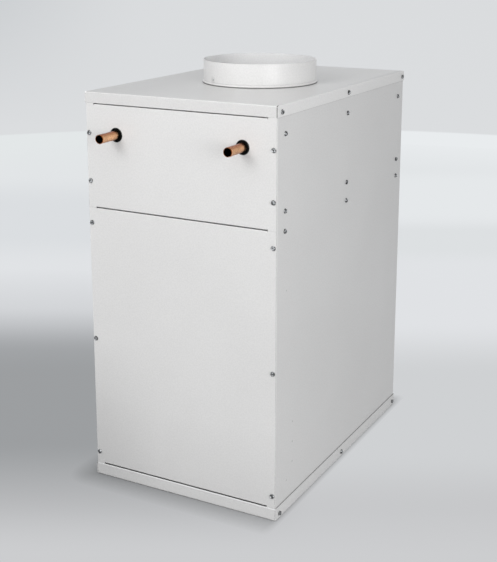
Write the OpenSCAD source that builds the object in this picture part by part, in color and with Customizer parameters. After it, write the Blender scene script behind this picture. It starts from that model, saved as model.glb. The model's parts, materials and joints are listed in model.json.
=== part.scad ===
// Upflow air handler: a sheet-metal cabinet with a hot-water coil over a blower.
// The origin is on the floor, at the centre of the footprint with pipes and screw heads.
// X is the width, Y runs from the front to the back and Z is up. Sizes are millimetres.

/* [Cabinet] */
// Outer width over the cap flanges
cabinet_w = 450; // [420:1:520]
// Outer depth over the cap flanges
cabinet_d = 675; // [660:1:760]
// Height to the top of the cap
cabinet_h = 864; // [850:1:960]
// Thickness of the cabinet sheet
sheet = 1.2; // [0.8:0.1:1.5]
// Height of the cap's down-turned flange
cap_flange = 23; // [20:1:30]
// Height of the tray's up-turned flange
tray_flange = 27.5; // [24:0.5:32]
// Outer radius of the bends along the cap and tray
bend_r = 2.5; // [2:0.1:4]
// Width of the side panels' inward flanges
side_flange = 19; // [16:1:24]
// Open seam between neighbouring front sheets
seam_gap = 2.2; // [1:0.1:3]
// Height of the middle of the seam between the two front panels
panel_seam_z = 618; // [610:1:624]
// Thickness of the foil-faced liners
liner_t = 12; // [6:1:14]

/* [Supply collar] */
// Outside diameter of the round supply collar
collar_d = 250; // [200:1:260]
// Height of the collar above the cap
collar_h = 51; // [40:1:70]
// Sideways offset of the collar from the middle of the cap
collar_x = 18; // [-20:1:30]
// Distance from the front to the collar's axis
collar_from_front = 320; // [300:1:345]
// Sheet thickness of the collar
collar_t = 0.9; // [0.7:0.1:1.2]
// Number of tabs folded under the cap
collar_tabs = 16; // [8:1:24]

/* [Return opening] */
// Width of the return-air opening in the tray
return_w = 340; // [250:5:360]
// Depth of the return-air opening in the tray
return_d = 460; // [300:5:500]
// Height of the lip round the return opening
return_lip = 12; // [8:1:16]

/* [Coil] */
// Outside diameter of the water stubs
stub_d = 19.05; // [15.9:0.05:22.2]
// Wall of the water stubs and headers
stub_wall = 1.1; // [0.8:0.1:1.5]
// Length of each stub in front of the cabinet
stub_reach = 59; // [45:1:75]
// Height of the stubs
stub_z = 778; // [770:1:786]
// Distance of each stub from the middle
stub_x = 148.5; // [132:0.5:150]
// Distance from the front to the headers
header_from_front = 75; // [72:1:80]
// Centre-line radius of the header elbows
elbow_r = 28; // [24:1:30]
// Outside diameter of the coil tubes
tube_d = 9.52; // [8:0.01:10]
// Wall of the coil tubes
tube_wall = 0.8; // [0.5:0.1:1]
// Tubes in each row, across the width
coil_columns = 10; // [8:2:12]
// Rows of tubes in the direction of the air
coil_rows = 3; // [2:1:3]
// Height from row to row
row_pitch = 28.6; // [25:0.1:30]
// Number of fins
fin_count = 44; // [20:1:60]
// Thickness of one fin
fin_t = 0.4; // [0.2:0.1:0.6]

/* [Blower] */
// Outside diameter of the wheel
wheel_d = 254; // [240:1:256]
// Width of the wheel
wheel_w = 203; // [180:1:206]
// Number of forward-curved blades
blade_count = 40; // [30:1:48]
// Radial depth of a blade
blade_depth = 19; // [15:1:22]
// Thickness of a blade
blade_t = 0.9; // [0.6:0.1:1.2]
// Inside width of the blower housing
housing_w = 226; // [222:1:230]
// Distance from the front to the blower axis
axis_from_front = 305; // [300:1:320]
// Height from the blower axis up to the deck
axis_below_deck = 245; // [240:1:250]
// Diameter of the throat of an inlet ring
inlet_d = 208; // [196:1:210]
// Diameter of the motor
motor_d = 140; // [120:1:150]
// Length of the motor
motor_l = 130; // [110:1:134]
// Diameter of the motor shaft
shaft_d = 12.7; // [10:0.1:14]

/* [Fasteners] */
// Width across the flats of a screw head
screw_af = 7.9; // [5.5:0.05:8]
// Diameter of the washer face of a screw head
screw_washer_d = 10; // [9.5:0.1:10.5]
// Height of a screw head
screw_head_h = 3.3; // [2.5:0.1:4]
// Diameter of a screw shank
screw_shank_d = 4.2; // [3:0.1:4.3]
// Diameter of a screw hole
screw_hole_d = 4.4; // [4.4:0.1:4.8]

/* [Hidden] */
$fn = 64;

// Places measured from the front, on the floor plan
front_y = (stub_reach - cabinet_d - screw_head_h) / 2;
function from_front(d) = front_y + d;
back_y = from_front(cabinet_d);
mid_y = from_front(cabinet_d / 2);
half_w = cabinet_w / 2;
panel_x = half_w - sheet;
inner_x = panel_x - sheet;
inner_back = cabinet_d - 2 * sheet;
flange_edge_x = panel_x - side_flange;

// Heights of the sheets
cap_under_z = cabinet_h - sheet;
cap_edge_z = cabinet_h - cap_flange;
bend_room = 1.5;
side_low_z = sheet + bend_room;
side_high_z = cap_under_z - bend_room;
upper_high_z = cap_edge_z - seam_gap;
upper_low_z = panel_seam_z + seam_gap / 2;
lower_high_z = panel_seam_z - seam_gap / 2;
lower_low_z = tray_flange + seam_gap;
panel_edge_x = half_w - 2.6;
stiffener = 13;
fold_r = sheet + 0.9;
screw_room = 14;
liner_low_z = 34;
liner_high_z = 596;
stiffener_x = flange_edge_x - 1.3;
butt_gap = 0.2;
upper_ends_z = [panel_seam_z + butt_gap / 2, cap_edge_z - butt_gap];
lower_ends_z = [tray_flange + butt_gap, panel_seam_z - butt_gap / 2];
cap_slit = 1.6;
tray_slit = 0.5;

// Rows and columns of screws
front_screw_x = half_w - 8.5;
upper_screw_z = [778, 675.5];
lower_screw_z = [584, 323, 55];
side_screw_d = [35, cabinet_d / 2, cabinet_d - 35];
side_screw_z = [806, 652.5, 611.5];
edge_screw_d = [17.5, cabinet_d / 2, cabinet_d - 12];
cap_screw_z = cabinet_h - 13.5;
tray_screw_z = 11;
back_screw_z = [800, 560, 310, 60];
cap_back_x = [-150, 150];

// Coil
column_pitch = 2 * stub_x / (coil_columns - 1);
header_y = from_front(header_from_front);
top_row_z = stub_z - elbow_r;
low_row_z = top_row_z - (coil_rows - 1) * row_pitch;
plate_t = 1.6;
front_plate_d = 97;
back_plate_d = 628;
front_bend_d = 90;
back_bend_d = 636;
rail_low_z = 640;
rail_high_z = 820;
rail_end = 22;
ledge_w = 53;
plate_low_z = rail_low_z + sheet;
plate_high_z = 790;
plate_half_w = 205;
fin_half_w = stub_x + column_pitch / 2;
fin_low_z = low_row_z - row_pitch / 2;
fin_high_z = top_row_z + row_pitch / 2;
fin_first_d = front_plate_d + 8;
fin_last_d = back_plate_d - 6;

grommet_neck_r = stub_d / 2 + 2;
grommet_lip = 1;
stop_groove_w = 1.5;
stop_groove_depth = 0.3;
vent_y = from_front(34);
vent_r = 3.5;

// Blower: the axis runs along X
deck_z = 622;
deck_under_z = deck_z - sheet;
deck_front_d = 16;
deck_flange = 20;
axis_y = from_front(axis_from_front);
axis_z = deck_z - axis_below_deck;
wheel_r = wheel_d / 2;
blade_root_r = wheel_r - blade_depth;
disc_t = 2;
side_x = housing_w / 2;
throat_y = -61;
// Four-centre volute: [centre y, centre z, radius] of the front, lower and back arcs
front_arc = [0, 0, 145];
lower_arc = [20, 0, 165];
back_arc = [20, 25, 190];
throat_far_y = back_arc[0] + back_arc[2];
volute_top = axis_below_deck - sheet;
ring_mouth_r = inlet_d / 2 + 14;
ring_bolts = 6;
motor_end_x = -55;
band_x = -138;
band_w = 26;
arm_count = 3;
arm_foot_r = ring_mouth_r + 12;
hub_r = 20;
hub_low_x = -12;
hub_high_x = 20;
shaft_end_x = 28;
bearing_gap = 0.05;
bearing_depth = 30;

// Control box, behind the lower front panel at the right: rivets and plugs are [from the front, z]
box_low = [20, from_front(18), 58];
box_high = [inner_x, from_front(90), 500];
box_plate_y = box_high[1] - sheet;
rivet_spots = [[44, 487], [77, 192], [77, 147], [77, 102], [50, 70]];
rivet_hole_r = 1.6;
plug_spots = [[70, 250], [70, 300]];
plug_hole_r = 11.1;
cover_low_z = 268;
board_low = [48, box_plate_y - 12, 300];
board_size = [150, 1.6, 150];
transformer_centre = [165, box_plate_y, 200];
relay_low = [104, box_plate_y - 34, 178];
cap_centre = [70, 200];
cap_r = 19;
cap_l = 82;
cap_stand = cap_r + 1;
terminal_low = [60, box_plate_y - 16, 100];
terminal_poles = 5;
terminal_pole_w = 16;

// Sheathed cable from the motor to the side of the control box
cable_r = 4;
cable_bend_r = 36;
cable_x = -160;
cable_z = 235;
cable_y = from_front(56);
bushing_r = 9;

// Box between its low and high corners
module block(low, high) {
  translate(low) cube(high - low);
}

// Extrudes an outline drawn as [Y, Z] along X
module along_x(x, length) {
  translate([x, 0, 0]) rotate([90, 0, 90]) linear_extrude(length) children();
}

// Extrudes an outline drawn as [X, Z] along +Y
module along_y(y, length) {
  translate([0, y + length, 0]) rotate([90, 0, 0]) linear_extrude(length) children();
}

// Round hole or rod along X through [y, z]
module rod_x(x, y, z, r, length) {
  translate([x, y, z]) rotate([0, 90, 0]) cylinder(h = length, r = r, center = true);
}

// Round hole or rod along Y through [x, z]
module rod_y(x, y, z, r, length) {
  translate([x, y, z]) rotate([90, 0, 0]) cylinder(h = length, r = r, center = true);
}

// Rectangle whose two upper corners are round
module top_rounded(w, h, r) {
  translate([-w / 2, 0]) square([w, h - r]);
  translate([-w / 2 + r, 0]) square([w - 2 * r, h]);
  for (side = [-1, 1]) translate([side * (w / 2 - r), h - r]) circle(r);
}

// Block whose four top edges are bent round
module bent_block(w, d, h, r) {
  intersection() {
    along_x(-w / 2, w) top_rounded(d, h, r);
    along_y(-d / 2, d) top_rounded(w, h, r);
  }
}

// Folded pan with its floor at the top and its flanges down, slit beside its side flanges
module pan(h, slit) {
  difference() {
    bent_block(cabinet_w, cabinet_d, h, bend_r);
    translate([0, 0, -sheet])
      bent_block(cabinet_w - 2 * sheet, cabinet_d - 2 * sheet, h, bend_r - sheet);
    for (sx = [-1, 1], sy = [-1, 1])
      translate([sx * (half_w - sheet - slit / 2), sy * cabinet_d / 2, (h - bend_r) / 2 - 0.5])
        cube([slit, 2 * sheet + 0.2, h - bend_r], center = true);
  }
}

// Holes for a column of screws on both sides of the cabinet
module side_holes(distances, heights, x_side = 0) {
  for (side = x_side == 0 ? [-1, 1] : [x_side], d = distances, z = heights)
    rod_x(side * half_w, from_front(d), z, screw_hole_d / 2, 30);
}

// Holes for two mirrored columns of screws through the front or back sheets
module column_holes(y, heights) {
  for (side = [-1, 1], z = heights)
    rod_y(side * front_screw_x, y, z, screw_hole_d / 2, 30);
}

// Self-drilling hex screw seated at z = 0 with its head up
module hex_screw(shank = 9) {
  washer_t = 0.9;
  point = 2.5;
  difference() {
    union() {
      cylinder(h = washer_t, r = screw_washer_d / 2);
      cylinder(h = screw_head_h, r = screw_af / sqrt(3), $fn = 6);
      translate([0, 0, -shank + point]) cylinder(h = shank - point, r = screw_shank_d / 2);
      translate([0, 0, -shank]) cylinder(h = point, r1 = 0.4, r2 = screw_shank_d / 2);
    }
    translate([-screw_af, -0.5, screw_head_h - 0.9]) cube([2 * screw_af, 1, 2]);
  }
}

// Screws through both sides of the cabinet, seated at the given distance from the middle
module side_screw_rows(seat_x, distances, heights) {
  for (side = [-1, 1], d = distances, z = heights)
    translate([side * seat_x, from_front(d), z]) rotate([0, side * 90, 0]) hex_screw();
}

// Screws seated on the front, or on the back when turned
module front_screw_rows(y, heights, columns, turned = false) {
  for (x = columns, z = heights)
    translate([x, y, z]) rotate([turned ? -90 : 90, 0, 0]) hex_screw();
}

// Pop rivet seated at z = 0 with its dome up
module pop_rivet(r, shank, dome) {
  ball = (r * r + dome * dome) / (2 * dome);
  intersection() {
    cylinder(h = dome, r = r);
    translate([0, 0, dome - ball]) sphere(ball);
  }
  translate([0, 0, -shank]) cylinder(h = shank + dome / 2, r = r / 2);
}

module base_tray() {
  color("white") difference() {
    union() {
      translate([0, mid_y, tray_flange]) rotate([180, 0, 0]) pan(tray_flange, tray_slit);
      translate([0, mid_y, sheet]) linear_extrude(return_lip - sheet) difference() {
        square([return_w + 2 * sheet, return_d + 2 * sheet], center = true);
        square([return_w, return_d], center = true);
      }
    }
    translate([0, mid_y, 0]) cube([return_w, return_d, 4 * sheet], center = true);
    side_holes(edge_screw_d, [tray_screw_z]);
  }
}

// Rectangle whose two corners at high x are round
module edge_rounded(low_x, high_x, low_y, high_y, r) {
  translate([low_x, low_y]) square([high_x - low_x - r, high_y - low_y]);
  translate([low_x, low_y + r]) square([high_x - low_x, high_y - low_y - 2 * r]);
  for (y = [low_y + r, high_y - r]) translate([high_x - r, y]) circle(r);
}

// Outline of a folded sheet: a wall at high x with a flange turned back at each end
module channel(low_x, high_x, low_y, high_y) {
  difference() {
    edge_rounded(low_x, high_x, low_y, high_y, fold_r);
    edge_rounded(low_x - 1, high_x - sheet, low_y + sheet, high_y - sheet, fold_r - sheet);
  }
}

// Side panel on the right, or on the left when side is -1
module side_panel(side) {
  difference() {
    mirror([side < 0 ? 1 : 0, 0, 0])
      translate([0, 0, side_low_z]) linear_extrude(side_high_z - side_low_z)
        channel(flange_edge_x, panel_x, front_y + sheet, back_y - sheet);
    side_holes(edge_screw_d, [cap_screw_z, tray_screw_z]);
    side_holes(side_screw_d, side_screw_z);
    column_holes(front_y, concat(upper_screw_z, lower_screw_z));
    column_holes(back_y, back_screw_z);
    if (side > 0) for (spot = rivet_spots)
      rod_x(half_w, from_front(spot[0]), spot[1], rivet_hole_r, 20);
    if (side < 0) for (spot = plug_spots)
      rod_x(-half_w, from_front(spot[0]), spot[1], plug_hole_r, 20);
  }
}

module left_side_panel() {
  color("white") side_panel(-1);
}

module right_side_panel() {
  color("white") side_panel(1);
}

// Turns what is drawn for the front round to the back
module at_back() {
  translate([0, 2 * mid_y, 0]) mirror([0, 1, 0]) children();
}

module back_panel() {
  color("white") at_back()
    folded_panel(lower_low_z, upper_high_z, [lower_ends_z[0], upper_ends_z[1]], back_screw_z);
}

module top_cap() {
  color("white") difference() {
    translate([0, mid_y, cap_edge_z]) pan(cap_flange, cap_slit);
    translate([collar_x, from_front(collar_from_front), cabinet_h])
      cylinder(h = 6 * sheet, r = collar_d / 2 + 0.1, center = true);
    side_holes(edge_screw_d, [cap_screw_z]);
    for (x = cap_back_x) rod_y(x, back_y, cap_screw_z, screw_hole_d / 2, 30);
  }
}

// Front sheet folded in along its top and bottom; its flat ends lap the side flanges and
// all but meet the sheets above and below at the two heights of ends_z
module folded_panel(low_z, high_z, ends_z, screw_z) {
  relief = 0.6;
  end_x = stiffener_x + relief;
  difference() {
    union() {
      along_x(-stiffener_x, 2 * stiffener_x)
        mirror([1, 0]) channel(-front_y - stiffener, -front_y, low_z, high_z);
      block([-panel_edge_x, front_y, low_z], [panel_edge_x, front_y + sheet, high_z]);
      for (side = [-1, 1])
        block([side > 0 ? end_x : -panel_edge_x, front_y, ends_z[0]],
          [side > 0 ? panel_edge_x : -end_x, front_y + sheet, ends_z[1]]);
    }
    for (z = [low_z, high_z]) {
      along_x(-end_x, 2 * end_x) fold_corner(z, z == low_z ? 1 : -1);
      for (side = [-1, 1])
        block([side * stiffener_x + (side < 0 ? -relief : 0), front_y - 1, z - fold_r],
          [side * stiffener_x + (side < 0 ? 0 : relief), front_y + stiffener, z + fold_r]);
    }
    column_holes(front_y, screw_z);
  }
}

// Sliver outside the bend at the folded edge at height z, as [Y, Z]
module fold_corner(z, inward) {
  translate([front_y, z]) difference() {
    square(2 * fold_r, center = true);
    translate([fold_r, inward * fold_r]) circle(fold_r);
  }
}

module upper_front_panel() {
  color("white") difference() {
    folded_panel(upper_low_z, upper_high_z, upper_ends_z, upper_screw_z);
    for (side = [-1, 1]) rod_y(side * stub_x, front_y, stub_z, grommet_neck_r, 10);
  }
}

module lower_front_panel() {
  color("white") folded_panel(lower_low_z, lower_high_z, lower_ends_z, lower_screw_z);
}

// Wall of the collar with a rolled bead at its foot, which rests on the cap
module collar_profile() {
  r = collar_d / 2;
  bead_r = 3.1;
  difference() {
    union() {
      translate([r - collar_t, -sheet - collar_t]) square([collar_t, collar_h + sheet + collar_t]);
      translate([r - collar_t, bead_r]) circle(bead_r);
    }
    translate([r - collar_t, bead_r]) circle(bead_r - collar_t);
    translate([r - collar_t - 2 * bead_r, 0]) square([2 * bead_r, 2 * bead_r]);
  }
}

// Collar with its foot folded out under the cap in tabs
module supply_collar() {
  tab_reach = 11;
  tab_angle = 14;
  color("white") translate([collar_x, from_front(collar_from_front), cabinet_h]) {
    rotate_extrude() collar_profile();
    for (i = [0 : collar_tabs - 1]) rotate((i + 0.3) * 360 / collar_tabs)
      rotate_extrude(angle = tab_angle)
        translate([collar_d / 2 - collar_t / 2, -sheet - collar_t]) square([tab_reach, collar_t]);
  }
}

// Low rivets that close the collar's seam, flush enough for a duct to slide over them
module collar_rivets() {
  color("silver") translate([collar_x, from_front(collar_from_front), cabinet_h + 12])
    for (a = [-116, 64]) rotate([0, 0, a])
      translate([collar_d / 2, 0, 0]) rotate([0, 90, 0]) cylinder(h = 0.4, r1 = 2.6, r2 = 1.8);
}

// Foil-faced liner on a side panel, clear of the deck, the control box and the edges
module side_liner(side) {
  mirror([side < 0 ? 1 : 0, 0, 0])
    block([inner_x - liner_t, from_front(96), liner_low_z],
      [inner_x, from_front(cabinet_d - screw_room), liner_high_z]);
}

module left_liner() {
  color("lightgray") side_liner(-1);
}

module right_liner() {
  color("lightgray") side_liner(1);
}

module back_liner() {
  edge_x = inner_x - liner_t - 1;
  color("lightgray")
    block([-edge_x, from_front(inner_back - liner_t), liner_low_z],
      [edge_x, from_front(inner_back), liner_high_z]);
}

module cap_liner() {
  edge_x = half_w - screw_room;
  r = collar_d / 2 + 14;
  color("lightgray") difference() {
    block([-edge_x, from_front(24), cap_under_z - liner_t],
      [edge_x, from_front(cabinet_d - 24), cap_under_z]);
    translate([collar_x, from_front(collar_from_front), cabinet_h])
      cylinder(h = 60, r = r, center = true);
  }
}

module front_liner() {
  edge_x = stiffener_x - 2;
  color("lightgray") block([-edge_x, front_y + sheet, lower_low_z + 4],
    [edge_x, front_y + sheet + liner_t, lower_high_z - 4]);
}

module pipe_grommets() {
  flange_r = stub_d / 2 + 5.4;
  lip = grommet_lip;
  bore_r = stub_d / 2 + 0.05;
  color("#181818") for (side = [-1, 1])
    translate([side * stub_x, front_y + sheet / 2, stub_z]) rotate([90, 0, 0])
      rotate_extrude() {
        translate([bore_r, -sheet / 2 - lip])
          square([grommet_neck_r - bore_r, sheet + 2 * lip]);
        for (z = [-sheet / 2 - lip, sheet / 2])
          translate([bore_r, z]) square([flange_r - bore_r, lip]);
      }
}

// Ring outline of a copper pipe, or its outer disc when solid
module pipe_ring(solid) {
  difference() {
    circle(stub_d / 2);
    if (!solid) circle(stub_d / 2 - stub_wall);
  }
}

// Header, elbow and stub in one run of pipe
module header_run(solid = false) {
  foot_z = low_row_z - 12;
  translate([0, header_y, foot_z]) linear_extrude(top_row_z - foot_z) pipe_ring(solid);
  translate([0, header_y - elbow_r, top_row_z]) rotate([0, 90, 0]) rotate([0, 0, 90])
    rotate_extrude(angle = 90) translate([elbow_r, 0]) pipe_ring(solid);
  along_y(front_y - stub_reach, header_y - elbow_r - front_y + stub_reach)
    translate([0, stub_z]) pipe_ring(solid);
  translate([0, header_y, foot_z]) cylinder(h = 2, r = stub_d / 2);
}

// Header at one side, drilled for the tubes of the outer column
module header(side) {
  difference() {
    translate([side * stub_x, 0, 0]) header_run();
    for (row = [0 : coil_rows - 1])
      rod_y(side * stub_x, header_y + stub_d / 2, row_z(row), tube_d / 2, stub_d);
    if (side > 0) translate([stub_x, vent_y, stub_z]) cylinder(h = 30, r = vent_r);
    stop_groove(side);
  }
}

// Shallow rolled groove under the grommet, where a fitting pushed on the stub stops
module stop_groove(side) {
  translate([side * stub_x, front_y, stub_z]) rotate([90, 0, 0]) difference() {
    cylinder(h = stop_groove_w, r = stub_d / 2 + 1);
    translate([0, 0, -1]) cylinder(h = stop_groove_w + 2, r = stub_d / 2 - stop_groove_depth);
  }
}

module inlet_header() {
  color("#c77b4f") header(-1);
}

module outlet_header() {
  color("#c77b4f") header(1);
}

module air_vent() {
  color("goldenrod") translate([stub_x, vent_y, stub_z]) {
    translate([0, 0, stub_d / 2 - stub_wall]) cylinder(h = 14, r = vent_r);
    translate([0, 0, stub_d / 2 + 3]) cylinder(h = 6, r = 6, $fn = 6);
    translate([0, 0, stub_d / 2 + 12]) cylinder(h = 5, r = 2);
  }
}

function column_x(i) = -stub_x + i * column_pitch;
function row_z(i) = low_row_z + i * row_pitch;

// Half-ring bend that joins two neighbouring tubes, opening towards +Y
module return_bend() {
  rotate([0, 0, 180]) rotate_extrude(angle = 180) translate([column_pitch / 2, 0]) difference() {
    circle(tube_d / 2);
    circle(tube_d / 2 - tube_wall);
  }
}

module coil_tubes() {
  header_end = header_y + stub_d / 2 - stub_wall;
  color("#c77b4f") for (row = [0 : coil_rows - 1]) translate([0, 0, row_z(row)]) {
    for (i = [0 : coil_columns - 1]) {
      outer = i == 0 || i == coil_columns - 1;
      start = outer ? header_end : from_front(front_bend_d);
      along_y(start, from_front(back_bend_d) - start) translate([column_x(i), 0]) difference() {
        circle(tube_d / 2);
        circle(tube_d / 2 - tube_wall);
      }
    }
    for (i = [1 : 2 : coil_columns - 3])
      translate([column_x(i) + column_pitch / 2, from_front(front_bend_d), 0]) return_bend();
    for (i = [0 : 2 : coil_columns - 2])
      translate([column_x(i) + column_pitch / 2, from_front(back_bend_d), 0])
        mirror([0, 1, 0]) return_bend();
  }
}

// Holes for all the tubes in an [X, Z] outline
module tube_holes() {
  for (row = [0 : coil_rows - 1], i = [0 : coil_columns - 1])
    translate([column_x(i), row_z(row)]) circle(tube_d / 2);
}

module coil_fins() {
  pitch = (fin_last_d - fin_first_d) / (fin_count - 1);
  color("silver") for (i = [0 : fin_count - 1])
    along_y(from_front(fin_first_d + i * pitch), fin_t) difference() {
      translate([-fin_half_w, fin_low_z]) square([2 * fin_half_w, fin_high_z - fin_low_z]);
      tube_holes();
    }
}

// Tube sheet with a flange turned towards the fins along its top
module coil_plate(d, flange_side) {
  flange = 14;
  along_y(from_front(d), plate_t) difference() {
    translate([-plate_half_w, plate_low_z])
      square([2 * plate_half_w, plate_high_z - plate_low_z]);
    tube_holes();
  }
  y = from_front(d) + (flange_side > 0 ? 0 : plate_t - flange);
  block([-plate_half_w, y, plate_high_z - plate_t], [plate_half_w, y + flange, plate_high_z]);
}

module coil_front_plate() {
  color("lightsteelblue") coil_plate(front_plate_d, -1);
}

module coil_back_plate() {
  color("lightsteelblue") coil_plate(back_plate_d, 1);
}

// Channel that carries the coil on one side: a web with a wide ledge and a narrow lip
module coil_rail(side) {
  lip = 20;
  difference() {
    mirror([side < 0 ? 1 : 0, 0, 0]) {
      low_y = from_front(rail_end);
      high_y = from_front(cabinet_d - rail_end);
      block([inner_x - sheet, low_y, rail_low_z], [inner_x, high_y, rail_high_z]);
      block([inner_x - ledge_w, low_y, rail_low_z], [inner_x, high_y, rail_low_z + sheet]);
      block([inner_x - lip, low_y, rail_high_z - sheet], [inner_x, high_y, rail_high_z]);
    }
    side_holes(side_screw_d, [side_screw_z[0], side_screw_z[1]]);
  }
}

module left_coil_rail() {
  color("lightsteelblue") coil_rail(-1);
}

module right_coil_rail() {
  color("lightsteelblue") coil_rail(1);
}

// Plate that closes the gap between the coil and the cabinet
module coil_baffle(low_d, high_d) {
  edge_x = inner_x - sheet - 1;
  upstand = 12;
  block([-edge_x, from_front(low_d), plate_low_z],
    [edge_x, from_front(high_d), plate_low_z + sheet]);
  block([-edge_x, from_front(high_d) - sheet, plate_low_z],
    [edge_x, from_front(high_d), plate_low_z + upstand]);
}

module front_coil_baffle() {
  color("lightsteelblue") coil_baffle(rail_end + 2, front_plate_d);
}

module back_coil_baffle() {
  color("lightsteelblue") at_back() coil_baffle(rail_end + 2, cabinet_d - back_plate_d - plate_t);
}

module blower_deck() {
  edge_x = inner_x;
  low_y = from_front(deck_front_d);
  high_y = from_front(inner_back) - 1.2;
  size = [2 * edge_x, high_y - low_y];
  centre_y = (low_y + high_y) / 2;
  color("lightsteelblue") difference() {
    translate([0, centre_y, deck_z - deck_flange]) difference() {
      linear_extrude(deck_flange) square(size, center = true);
      translate([0, 0, -sheet]) linear_extrude(deck_flange)
        square([size[0] - 2 * sheet, size[1] - 2 * sheet], center = true);
    }
    block([-side_x, axis_y + throat_y, deck_z - 5], [side_x, axis_y + throat_far_y, deck_z + 5]);
    side_holes(side_screw_d, [side_screw_z[2]]);
    for (spot = deck_screw_spots()) translate([spot[0], spot[1], deck_z])
      cylinder(h = 10, r = screw_hole_d / 2, center = true);
  }
}

// Places on the deck where the blower's top flanges are screwed up
function deck_screw_spots() = [
  for (side = [-1, 1], y = [throat_y + 30, throat_far_y - 30]) [side * (side_x + 9), axis_y + y]
];

// Part of an arc of the volute, cut to the quarter that starts at its centre
module volute_quarter(arc, grow, turn_y, turn_z) {
  reach = arc[2] + grow;
  translate([arc[0], arc[1]]) intersection() {
    circle(reach);
    translate([turn_y < 0 ? -reach : 0, turn_z < 0 ? -reach : 0]) square(reach);
  }
}

// Outline of the housing round the wheel, as [Y, Z] from the axis, grown by a thickness
module volute(grow) {
  volute_quarter(lower_arc, grow, -1, -1);
  volute_quarter(back_arc, grow, 1, -1);
  volute_quarter(front_arc, grow, -1, 1);
  translate([throat_y - grow, 0]) square([back_arc[0] - throat_y + grow, volute_top]);
  translate([back_arc[0], back_arc[1]])
    square([back_arc[2] + grow, volute_top - back_arc[1]]);
}

module at_axis() {
  translate([0, axis_y, axis_z]) children();
}

module scroll_wrap() {
  color("lightsteelblue") at_axis() along_x(-side_x, housing_w) difference() {
    volute(sheet);
    volute(0);
  }
}

// Angle of each bolt that holds an inlet ring
function ring_bolt_angle(i) = 30 + i * 360 / ring_bolts;

// Side of the housing, with its inlet hole and a flange under the deck
module housing_side(side) {
  x = side > 0 ? side_x : -side_x - sheet;
  flange = 18;
  flange_x = side > 0 ? side_x : -side_x - flange;
  color("lightsteelblue") difference() {
    at_axis() {
      along_x(x, sheet) difference() {
        volute(sheet);
        circle(ring_mouth_r - 8);
      }
      translate([flange_x, throat_y, volute_top - sheet])
        cube([flange, throat_far_y - throat_y, sheet]);
    }
    for (spot = deck_screw_spots()) translate([spot[0], spot[1], deck_z])
      cylinder(h = 10, r = screw_hole_d / 2, center = true);
    for (i = [0 : arm_count - 1]) at_axis() rotate([ring_bolt_angle(2 * i), 0, 0])
      rod_x(side * side_x, arm_foot_r, 0, screw_hole_d / 2, 10);
  }
}

module left_housing_side() {
  housing_side(-1);
}

module right_housing_side() {
  housing_side(1);
}

// Spun inlet ring: a flat flange outside the housing and a rounded mouth leading in
module inlet_ring(side) {
  throat_r = inlet_d / 2;
  flare = ring_mouth_r - 8 - throat_r;
  color("lightsteelblue") at_axis() mirror([side < 0 ? 1 : 0, 0, 0])
    translate([side_x + sheet, 0, 0]) rotate([0, 90, 0]) rotate_extrude() {
      translate([throat_r + flare, 0]) square([ring_mouth_r - throat_r - flare + 4, sheet]);
      intersection() {
        translate([throat_r + flare, -flare + sheet]) difference() {
          circle(flare);
          circle(flare - sheet);
        }
        translate([throat_r, -flare + sheet]) square(flare);
      }
      translate([throat_r, -flare + sheet - 3]) square([sheet, 3]);
    }
}

module left_inlet_ring() {
  inlet_ring(-1);
}

module right_inlet_ring() {
  inlet_ring(1);
}

// Rounded lip that peels the air off the wheel at the start of the throat
module cutoff_plate() {
  lip_r = 5;
  lip_y = throat_y + lip_r;
  lip_z = 134;
  color("lightsteelblue") at_axis() along_x(-side_x, housing_w) {
    translate([throat_y, lip_z]) square([sheet, 50]);
    intersection() {
      translate([lip_y, lip_z]) difference() {
        circle(lip_r);
        circle(lip_r - sheet);
      }
      translate([throat_y, lip_z - lip_r]) square([2 * lip_r, lip_r]);
    }
    translate([lip_y + lip_r - sheet, lip_z]) square([sheet, 8]);
  }
}

// Outline of one forward-curved blade: a short arc from the root to the tip circle
module blade_outline() {
  lead = 9;
  sag = 4.5;
  steps = 6;
  root = [blade_root_r, 0];
  tip = [sqrt(pow(wheel_r - 0.6, 2) - lead * lead), lead];
  along = tip - root;
  across = [along[1], -along[0]] / norm(along);
  line = [for (i = [0 : steps]) root + along * i / steps + across * sag * sin(180 * i / steps)];
  shift = across * blade_t;
  polygon(concat(line, [for (i = [steps : -1 : 0]) line[i] + shift]));
}

// All the blades, drawn from a wheel angle of zero
module blade_ring() {
  for (i = [0 : blade_count - 1]) rotate(i * 360 / blade_count) blade_outline();
}

module blower_wheel() {
  rim_t = 1.6;
  rim_in_r = blade_root_r + 6;
  half = wheel_w / 2;
  color("silver") at_axis() {
    along_x(-half + rim_t, wheel_w - 2 * rim_t) blade_ring();
    for (x = [-half, half - rim_t]) along_x(x, rim_t) difference() {
      circle(wheel_r);
      circle(rim_in_r);
    }
    along_x(-disc_t / 2, disc_t) difference() {
      circle(blade_root_r + 2);
      circle(hub_r);
      for (i = [0 : 5]) rotate(i * 60) translate([62, 0]) circle(14);
    }
  }
}

module wheel_hub() {
  color("gainsboro") at_axis() difference() {
    union() {
      rod_x((hub_low_x + hub_high_x) / 2, 0, 0, hub_r, hub_high_x - hub_low_x);
      rod_x(disc_t / 2 + 1.5, 0, 0, hub_r + 9, 3);
    }
    rod_x(0, 0, 0, shaft_d / 2, 100);
    translate([hub_high_x - 7, 0, 0]) cylinder(h = 30, r = 3);
  }
}

module hub_set_screw() {
  length = 12;
  color("#303030") at_axis() translate([hub_high_x - 7, 0, shaft_d / 2]) difference() {
    cylinder(h = length, r = 3);
    translate([0, 0, length - 2.5]) cylinder(h = 4, r = 1.8, $fn = 6);
  }
}

module motor_shaft() {
  low_x = motor_end_x - bearing_depth;
  color("gray") at_axis() rod_x((low_x + shaft_end_x) / 2, 0, 0, shaft_d / 2, shaft_end_x - low_x);
}

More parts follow.
